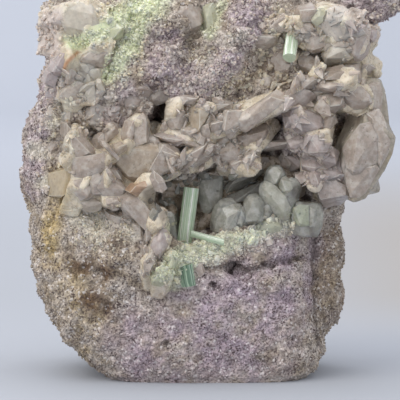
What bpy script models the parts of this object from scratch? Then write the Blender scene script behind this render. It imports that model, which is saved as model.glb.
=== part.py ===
"""A pollucite hand specimen: granular lilac rock, glassy masses, pale crystals and green tourmalines.

The rock stands on its flat underside with its crystal face towards -Y. The origin is the middle of that
underside, +X is to the right of the crystal face and +Z is up. Lengths in the tables are millimetres, as
(x, y, z) or, for what is drawn on the crystal face, as (x, z); meshes are metres.
Run it with: blender --background --python part.py
"""

import math
import random
from dataclasses import dataclass, replace
from typing import Iterable, List, Optional, Sequence, Tuple

import bmesh
import bpy
import numpy as np
from mathutils import Euler, Matrix, Vector, noise

Point = Tuple[float, float, float]
Flat = Tuple[float, float]

# Driving dimensions, in millimetres
GAP = 0.4  # room between a crystal and the socket it sits in
ROUGHNESS = 2.0  # how far the broken rock surface stands in and out
LUMP_SIZE = 13.0  # the usual width of the rock's lumps
SQUARENESS = 4.2  # 2 makes the rock's plan an ellipse, and more makes it a rounded block
SIDE_SWELL = 1.0  # the sides stand out this much past the edges of the crystal face
FLAT_FOOT = 0.7  # the rock is smooth below this height
ROUGH_FROM = 6.0  # the roughness is full from this height up
FOOT_ROWS = (0.0, 0.35, 2.0, 6.0)  # heights of the rings of facets round a rock's foot
ROW_STEP = 6.0  # height of a ring of facets above them
FRONT_SHARE = 1.7  # the crystal face has this many times as many columns of facets as the back
BLOCK_COLUMNS = 34  # columns of facets round the rock
SLAB_COLUMNS = 12
PLAN_STEPS = 720  # how finely the rock's plan is measured
MM = 0.001
WELD = 2e-6  # metres
FLAT_ENOUGH = math.radians(6.0)  # faces that differ by less are one face
LINING = 2.4  # how thick the hollow's crust is
LINING_FRONT = -20.5  # the crust reaches this far forward


@dataclass(frozen=True)
class Outline:
    """Where a rock's sides stand at each height: pairs of (height, place)."""

    left: Sequence[Flat]
    right: Sequence[Flat]
    front: Sequence[Flat]
    back: Sequence[Flat]

    def sides(self, height: float) -> Tuple[float, float, float, float]:
        """The left, right, front and back at that height."""
        found = []
        for edge in (self.left, self.right, self.front, self.back):
            heights, places = zip(*edge)
            found.append(float(np.interp(height, heights, places)))
        return found[0] - SIDE_SWELL, found[1] + SIDE_SWELL, found[2], found[3]

    def point(self, angle: float, height: float) -> Vector:
        """The rounded block's wall at that angle round its middle, where three quarter turns is the front."""
        left, right, front, back = self.sides(height)
        x, y = math.cos(angle), math.sin(angle)
        reach = (abs(x) ** SQUARENESS + abs(y) ** SQUARENESS) ** (-1.0 / SQUARENESS)
        middle = Vector(((left + right) / 2.0, (front + back) / 2.0, height))
        return middle + Vector((x * reach * (right - left) / 2.0, y * reach * (back - front) / 2.0, 0.0))

    def angles(self, columns: int) -> List[float]:
        """The angles of the columns of facets: even steps along the wall, and shorter ones at the front."""
        turns = [2.0 * math.pi * step / PLAN_STEPS for step in range(PLAN_STEPS + 1)]
        height = (self.left[0][0] + self.left[-1][0]) / 2.0
        walls = [self.point(turn, height) for turn in turns]
        weights = [FRONT_SHARE if math.sin(turn) < 0.0 else 1.0 for turn in turns[1:]]
        steps = zip(walls, walls[1:], weights)
        lengths = [(after - before).length * weight for before, after, weight in steps]
        along = np.concatenate(([0.0], np.cumsum(lengths)))
        wanted = [along[-1] * column / columns for column in range(columns)]
        return [float(turn) for turn in np.interp(wanted, along, turns)]

    def face(self, x: float, height: float) -> float:
        """How far forward the front stands at x, before its bulges."""
        left, right, front, back = self.sides(height)
        across = min(1.0, abs(2.0 * x - left - right) / (right - left))
        return (front + back) / 2.0 - (back - front) / 2.0 * (1.0 - across**SQUARENESS) ** (1.0 / SQUARENESS)


MAIN_BLOCK = Outline(
    left=(
        (0.0, -29.0), (2.0, -32.0), (6.7, -37.6), (11.5, -42.2), (17.6, -46.0), (23.8, -49.0),
        (30.8, -50.3), (35.0, -49.2), (40.6, -50.7), (51.5, -52.4), (58.2, -53.4), (65.0, -52.6),
        (72.5, -52.4), (76.0, -49.4), (82.0, -48.4), (88.8, -46.8), (95.0, -48.4), (104.0, -48.2),
        (110.0, -43.0), (115.0, -34.0), (119.0, -18.0),
    ),
    right=(
        (0.0, 26.0), (2.5, 29.4), (5.0, 31.0), (7.6, 31.6), (11.5, 30.4), (16.8, 28.8), (26.0, 28.0),
        (44.5, 28.2), (50.0, 31.0), (60.0, 34.0), (75.0, 36.0), (90.0, 38.0), (102.0, 38.5), (110.0, 34.0),
        (115.0, 26.0), (119.0, 8.0),
    ),
    front=(
        (0.0, -28.0), (1.6, -29.4), (4.0, -30.2), (14.0, -31.0), (26.0, -31.0), (38.0, -30.4),
        (44.0, -28.8), (56.0, -25.0), (66.0, -24.0), (82.0, -24.0), (96.0, -22.0), (106.0, -18.0),
        (113.0, -12.0), (119.0, -4.0),
    ),
    back=(
        (0.0, 22.0), (4.0, 27.0), (12.0, 30.0), (40.0, 32.0), (75.0, 31.0), (98.0, 27.0), (110.0, 20.0),
        (119.0, 8.0),
    ),
)
BLOCK_TOP = 118.0

# Broad fracture faces on the back, the top and the rear corners: the way each looks, and how far out it
# lies as a share of the rock's reach that way
FRACTURES = (
    ((0.62, 0.76, 0.12), 0.87),
    ((-0.64, 0.74, 0.1), 0.86),
    ((0.12, 0.97, -0.22), 0.93),
    ((-0.2, 0.93, 0.3), 0.92),
    ((0.05, 0.72, 0.7), 0.84),
    ((-0.55, 0.42, 0.72), 0.88),
    ((0.5, 0.4, 0.77), 0.9),
    ((-0.42, 0.78, -0.46), 0.9),
    ((0.5, 0.7, -0.5), 0.92),
    ((-0.12, 0.14, 0.98), 0.965),
    ((0.25, -0.1, 0.96), 0.965),
)

# The slab that is set back at the right and clears the ground
SLAB = Outline(
    left=((9.8, 22.0), (14.0, 12.0), (90.0, 12.0), (100.0, 20.0)),
    right=(
        (9.8, 29.4), (11.8, 33.6), (15.0, 35.4), (22.0, 37.4), (28.0, 36.6), (37.0, 37.2), (41.0, 36.4),
        (47.0, 37.2), (52.0, 38.4), (70.0, 38.0), (90.0, 39.0), (100.0, 34.0),
    ),
    front=((9.8, -8.0), (16.0, -13.0), (50.0, -15.0), (75.0, -16.0), (90.0, -12.0), (100.0, -4.0)),
    back=((9.8, 8.0), (16.0, 20.0), (50.0, 24.0), (90.0, 20.0), (100.0, 10.0)),
)


@dataclass(frozen=True)
class Bulge:
    """A swelling, or with a negative height a dip, of the rock's front face."""

    x: float
    z: float
    reach: Flat
    height: float
    tilt: float = 0.0

    def out(self, x: float, z: float) -> float:
        """How far it moves the face at (x, z)."""
        turn = math.radians(self.tilt)
        along = (x - self.x) * math.cos(turn) + (z - self.z) * math.sin(turn)
        across = (z - self.z) * math.cos(turn) - (x - self.x) * math.sin(turn)
        return self.height * math.exp(-((along / self.reach[0]) ** 2) - (across / self.reach[1]) ** 2)


BULGES = (
    Bulge(-24.0, 42.0, (8.0, 8.0), 3.4),  # round granular boulder under the glassy edge
    Bulge(6.0, 41.0, (26.0, 3.2), 2.6, 9.0),  # lip below the hollow
    Bulge(-12.0, 33.0, (9.0, 6.0), 1.6),
    Bulge(12.0, 22.0, (15.0, 9.0), 1.4),
    Bulge(-14.0, 13.0, (14.0, 7.0), 1.2),
    Bulge(-34.0, 22.0, (9.0, 12.0), 1.6),
    Bulge(-46.0, 60.0, (6.0, 9.0), 1.5),
    Bulge(-13.0, 89.0, (7.0, 10.0), 6.4, -8.0),  # lilac lump
    Bulge(3.0, 92.0, (17.0, 5.0), 6.0, 62.0),  # white and lilac band
    Bulge(-25.0, 97.0, (14.0, 4.5), 4.4, 42.0),  # mint crust
    Bulge(-27.0, 84.0, (9.0, 4.5), 3.2, 50.0),
    Bulge(-33.0, 75.0, (9.0, 4.5), 3.0),
    Bulge(-5.0, 97.0, (12.0, 3.4), -6.0, 62.0),  # groove between the lump and the band
    Bulge(15.0, 88.0, (6.0, 7.0), -4.0),
)


def swell(bm: bmesh.types.BMesh, grow: float) -> bmesh.types.BMesh:
    """Stretches a shape until it is larger by grow on each side, and gives the shape back."""
    if grow:
        places = np.array([vert.co for vert in bm.verts])
        low, high = places.min(axis=0), places.max(axis=0)
        middle = Vector((low + high) / 2.0)
        stretch = Vector(1.0 + 2.0 * grow / (high - low))
        bmesh.ops.scale(bm, verts=bm.verts, vec=stretch, space=Matrix.Translation(-middle))
    return bm


def close_holes(bm: bmesh.types.BMesh) -> None:
    """Fills every open rim with one face."""
    rims = [edge for edge in bm.edges if edge.is_boundary]
    bmesh.ops.holes_fill(bm, edges=rims, sides=0)


def break_corners(bm: bmesh.types.BMesh, seed: int, cuts: int, depth: Flat) -> None:
    """Cuts flat faces on a shape's corners, each at a share of the way from its middle to the corner."""
    chance = random.Random(seed)
    for _ in range(cuts):
        way = Vector([chance.choice((-1, 1)) * chance.uniform(0.25, 1.0) for _ in range(3)]).normalized()
        middle = sum((vert.co for vert in bm.verts), Vector()) / len(bm.verts)
        reach = max((vert.co - middle).dot(way) for vert in bm.verts) * chance.uniform(*depth)
        whole = bm.verts[:] + bm.edges[:] + bm.faces[:]
        bmesh.ops.bisect_plane(bm, geom=whole, plane_co=middle + way * reach, plane_no=way, clear_outer=True)
        close_holes(bm)


@dataclass(frozen=True)
class Lump:
    """A rough round body, joined to the rock or cut out of it as a pit."""

    centre: Point
    radii: Point
    seed: int = 1
    turn: float = 0.0
    detail: int = 1
    rough: float = 0.36

    def shape(self, grow: float = 0.0) -> bmesh.types.BMesh:
        """The closed mesh, larger by grow on every side."""
        bm = bmesh.new()
        bmesh.ops.create_icosphere(bm, subdivisions=self.detail, radius=1.0)
        shift = Vector((self.seed * 3.1, self.seed * 1.7, 0.0))
        for vert in bm.verts:
            far = 1.0 + self.rough * noise.noise(vert.co * 1.9 + shift)
            vert.co = Vector([c * far * (r + grow) for c, r in zip(vert.co, self.radii)])
        place = Matrix.Translation(self.centre) @ Matrix.Rotation(math.radians(self.turn), 4, "Y")
        bmesh.ops.transform(bm, matrix=place, verts=bm.verts)
        return bm


# How a prism ends: steps of (rise, width left), as shares of the prism's width. A point has no step.
ENDS = {
    "flat": ((0.05, 0.86),),
    "blunt": ((0.26, 0.62),),
    "domed": ((0.2, 0.84), (0.2, 0.6)),
    "broken": (),
    "point": (),
}
POINT_RISE = 0.8  # a pointed end's height, as a share of the prism's width
BREAK_SLOPE = 0.5  # how steeply a broken end slants


@dataclass(frozen=True)
class Prism:
    """A crystal that grew from foot to tip."""

    foot: Point
    tip: Point
    width: float
    end: str = "blunt"
    roll: float = 0.0
    sides: int = 6
    taper: float = 0.86
    flat: float = 0.8

    def shape(self, grow: float = 0.0) -> bmesh.types.BMesh:
        """The closed mesh, larger by grow on every side."""
        axis = Vector(self.tip) - Vector(self.foot)
        steps = ENDS[self.end]
        rise = self.width * (POINT_RISE if self.end == "point" else sum(step[0] for step in steps))
        shaft = axis.length - rise
        radius = self.width / 2.0
        bm = bmesh.new()
        bmesh.ops.create_cone(
            bm, cap_ends=True, segments=self.sides, radius1=radius, radius2=radius * self.taper, depth=shaft
        )
        bmesh.ops.translate(bm, verts=bm.verts, vec=(0.0, 0.0, shaft / 2.0))
        top = max(bm.faces, key=lambda face: face.calc_center_median().z)
        for step_rise, left in steps:
            raised = bmesh.ops.extrude_discrete_faces(bm, faces=[top])["faces"]
            top = raised[0]
            bmesh.ops.translate(bm, verts=top.verts, vec=(0.0, 0.0, step_rise * self.width))
            bmesh.ops.scale(bm, verts=top.verts, vec=(left, left, 1.0))
        if self.end == "point":
            bmesh.ops.poke(bm, faces=[top], offset=rise)
        if self.end == "broken":
            for vert in top.verts:
                vert.co.z += vert.co.x * BREAK_SLOPE
        bmesh.ops.scale(bm, verts=bm.verts, vec=(1.0, self.flat, 1.0))
        turn = axis.to_track_quat("Z", "Y").to_matrix().to_4x4()
        place = Matrix.Translation(self.foot) @ turn @ Matrix.Rotation(math.radians(self.roll), 4, "Z")
        bmesh.ops.transform(bm, matrix=place, verts=bm.verts)
        return swell(bm, grow)


@dataclass(frozen=True)
class Block:
    """A massive crystal: a box whose corners are broken to flat faces."""

    centre: Point
    size: Point
    seed: int
    turn: Point = (0.0, 0.0, 0.0)
    cuts: int = 9
    depth: Flat = (0.62, 0.84)

    def shape(self, grow: float = 0.0) -> bmesh.types.BMesh:
        """The closed mesh, larger by grow on every side."""
        bm = bmesh.new()
        bmesh.ops.create_cube(bm, size=1.0)
        bmesh.ops.scale(bm, verts=bm.verts, vec=self.size)
        break_corners(bm, self.seed, self.cuts, self.depth)
        turn = Euler([math.radians(angle) for angle in self.turn]).to_matrix().to_4x4()
        bmesh.ops.transform(bm, matrix=Matrix.Translation(self.centre) @ turn, verts=bm.verts)
        return swell(bm, grow)


SPOT_REACH = 0.92  # how near to a plate's rim a crystal grows on it


@dataclass(frozen=True)
class Plate:
    """A crystal whose face has a known outline: drawn on the crystal face, thick along Y, corners broken."""

    outline: Sequence[Flat]
    front: float
    back: float
    seed: int
    tilt: Flat = (0.0, 0.0)  # degrees about X and about Z
    cuts: int = 5
    depth: Flat = (0.8, 0.93)

    def spot(self, chance: random.Random) -> Vector:
        """A place taken at random on the front."""
        corners = [Vector((x, self.front, z)) for x, z in self.outline]
        middle = sum(corners, Vector()) / len(corners)
        number = chance.randrange(len(corners))
        rim = corners[number].lerp(corners[number - 1], chance.random())
        return middle.lerp(rim, math.sqrt(chance.random()) * SPOT_REACH)

    def shape(self, grow: float = 0.0) -> bmesh.types.BMesh:
        """The closed mesh, larger by grow on every side."""
        bm = bmesh.new()
        corners = [bm.verts.new((x, self.front, z)) for x, z in self.outline]
        bm.faces.new(corners)
        thick = bmesh.ops.extrude_face_region(bm, geom=bm.faces[:], use_keep_orig=True)["geom"]
        moved = [item for item in thick if isinstance(item, bmesh.types.BMVert)]
        bmesh.ops.translate(bm, verts=moved, vec=(0.0, self.back - self.front, 0.0))
        bmesh.ops.recalc_face_normals(bm, faces=bm.faces)
        break_corners(bm, self.seed, self.cuts, self.depth)
        middle = sum((vert.co for vert in bm.verts), Vector()) / len(bm.verts)
        turn = Euler((math.radians(self.tilt[0]), 0.0, math.radians(self.tilt[1]))).to_matrix()
        bmesh.ops.rotate(bm, verts=bm.verts, cent=middle, matrix=turn)
        return swell(bm, grow)


SUNK = 0.38  # the share of a crowding crystal's length that is below the spot it grows on
TRIES = 14  # places compared before a crystal is put on the one farthest from the others


@dataclass(frozen=True)
class Crowd:
    """Crystals of all widths that jostle over a growth's plates."""

    count: int
    width: Flat
    lean: Flat  # degrees from upright towards +X
    seed: int
    rise: Flat = (18.0, 60.0)  # degrees out of the face
    stretch: Flat = (1.1, 1.8)  # length over width

    def crystals(self, plates: Sequence[Plate]) -> List[Prism]:
        """The crowd's crystals, with their feet in the plates."""
        chance = random.Random(self.seed)
        spots: List[Vector] = []
        made = []
        for _ in range(self.count):
            tries = [chance.choice(plates).spot(chance) for _ in range(TRIES)]
            spot = max(tries, key=lambda place: min(((place - other).length for other in spots), default=0.0))
            spots.append(spot)
            width = chance.uniform(*self.width)
            length = width * chance.uniform(*self.stretch)
            lean = math.radians(chance.uniform(*self.lean))
            rise = math.radians(chance.uniform(*self.rise))
            way = Vector((math.sin(lean) * math.cos(rise), -math.sin(rise), math.cos(lean) * math.cos(rise)))
            made.append(Prism(
                tuple(spot - way * length * SUNK + Vector((0.0, width * 0.7, 0.0))),
                tuple(spot + way * length * (1.0 - SUNK)),
                width,
                chance.choice(("blunt", "broken", "broken", "point")),
                roll=chance.uniform(0.0, 60.0),
                sides=chance.choice((4, 5, 6)),
                taper=chance.uniform(0.7, 0.95),
                flat=chance.uniform(0.6, 0.95),
            ))
        return made


# The hollow in the crystal face, and the pits and crevices round it
HOLLOW = (
    Lump((-8.0, -27.5, 48.5), (12.0, 15.0, 10.0), seed=3, detail=2),
    Lump((10.0, -27.5, 54.0), (18.5, 16.0, 10.0), seed=5, turn=-6.0, detail=2),
)
PITS = (
    Lump((-16.5, -25.0, 71.5), (2.6, 8.0, 4.4), seed=11, turn=24.0),
    Lump((-13.6, -26.0, 77.0), (2.4, 6.5, 3.6), seed=12, turn=24.0),
    Lump((-41.0, -26.0, 65.0), (2.2, 5.5, 1.7), seed=13, turn=20.0),
    Lump((-33.6, -27.0, 70.6), (3.2, 6.0, 2.6), seed=14),
    Lump((-18.6, -31.0, 43.2), (1.0, 4.0, 1.7), seed=15),
    Lump((6.0, -31.0, 31.9), (2.6, 4.5, 2.0), seed=16),
    Lump((9.4, -31.0, 30.4), (1.5, 3.5, 1.8), seed=17),
    Lump((14.8, -31.0, 33.7), (1.6, 3.5, 1.6), seed=18, turn=-30.0),
    Lump((21.8, -30.0, 34.0), (2.1, 3.0, 1.5), seed=19),
    Lump((0.4, -32.0, 28.0), (1.2, 3.0, 1.2), seed=20),
    Lump((-12.9, -31.0, 11.5), (1.0, 3.2, 1.0), seed=21),
    Lump((-32.6, -31.0, 31.8), (3.6, 2.6, 1.4), seed=22, turn=-8.0),
    Lump((18.6, -26.0, 71.4), (2.6, 8.0, 4.2), seed=23, turn=20.0),
    Lump((16.0, -26.0, 63.6), (5.0, 8.0, 2.6), seed=24, turn=-8.0),
    Lump((37.4, -22.0, 71.2), (6.4, 10.0, 3.4), seed=25, turn=-38.0),
    Lump((9.4, -28.0, 82.6), (4.2, 5.0, 2.0), seed=26, turn=-8.0),
    Lump((34.0, -24.0, 88.0), (5.4, 7.0, 2.6), seed=27, turn=-12.0),
)

# Dark gaps that run in between the crystals
CREVICES = (
    Lump((18.6, -29.0, 71.0), (2.0, 6.0, 3.6), seed=41, turn=30.0),
    Lump((16.4, -29.0, 63.2), (3.6, 5.0, 1.8), seed=42, turn=-10.0),
    Lump((25.6, -28.0, 52.4), (2.6, 5.0, 2.2), seed=43, turn=40.0),
    Lump((28.4, -27.0, 79.8), (2.0, 4.0, 1.6), seed=44),
    Lump((37.6, -26.0, 71.4), (5.4, 6.0, 2.8), seed=45, turn=-42.0),
    Lump((-15.4, -28.0, 74.0), (2.2, 6.0, 6.4), seed=46, turn=18.0),
    Lump((-33.4, -30.0, 69.4), (1.8, 4.0, 3.0), seed=47, turn=-20.0),
    Lump((33.4, -25.0, 88.2), (4.6, 5.0, 2.2), seed=48, turn=-12.0),
)

# The nodular lump that overhangs at the top right
TOP_LUMPS = (
    Lump((40.0, -7.0, 107.0), (9.4, 12.4, 8.4), seed=9, detail=2),
    Lump((47.6, -9.0, 107.6), (7.6, 9.0, 8.0), seed=10),
    Lump((45.4, -14.0, 102.6), (4.2, 4.2, 3.4), seed=31),
    Lump((40.6, -15.0, 104.4), (4.0, 4.4, 3.6), seed=32),
    Lump((50.0, -11.0, 104.4), (3.6, 4.4, 3.6), seed=33),
    Lump((43.6, -2.0, 101.6), (5.0, 5.4, 3.6), seed=34),
    Lump((48.4, -3.0, 111.6), (5.0, 6.0, 4.6), seed=35),
)


@dataclass(frozen=True)
class Finish:
    """A surface's colour and shine."""

    colour: Point
    roughness: float
    clear: float = 0.0

    def material(self, name: str) -> bpy.types.Material:
        """The material of that name."""
        made = bpy.data.materials.new(name)
        made.use_nodes = True
        shader = made.node_tree.nodes["Principled BSDF"]
        shader.inputs["Base Color"].default_value = (*self.colour, 1.0)
        shader.inputs["Roughness"].default_value = self.roughness
        shader.inputs["Metallic"].default_value = 0.0
        shader.inputs["Transmission Weight"].default_value = self.clear
        made.diffuse_color = (*self.colour, 1.0)
        return made


ROCK = Finish((0.36, 0.31, 0.32), 0.9)
WAXY_GLASS = Finish((0.42, 0.37, 0.28), 0.28, 0.5)
MILKY_QUARTZ = Finish((0.45, 0.42, 0.38), 0.25, 0.6)
YELLOW_GLASS = Finish((0.43, 0.39, 0.28), 0.2, 0.7)
MINT_GLASS = Finish((0.45, 0.52, 0.42), 0.3, 0.5)
GREEN_TOURMALINE = Finish((0.16, 0.34, 0.2), 0.12, 0.6)
DARK_TOURMALINE = Finish((0.09, 0.17, 0.11), 0.2, 0.4)
DULL_CRUST = Finish((0.16, 0.13, 0.11), 0.5)


@dataclass(frozen=True)
class Growth:
    """Crystals that grew into one another, and so are one solid."""

    name: str
    finish: Finish
    known: Sequence
    crowd: Optional[Crowd] = None

    @property
    def crystals(self) -> List:
        """All its crystals."""
        plates = [crystal for crystal in self.known if isinstance(crystal, Plate)]
        return [*self.known, *(self.crowd.crystals(plates) if self.crowd else ())]


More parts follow.
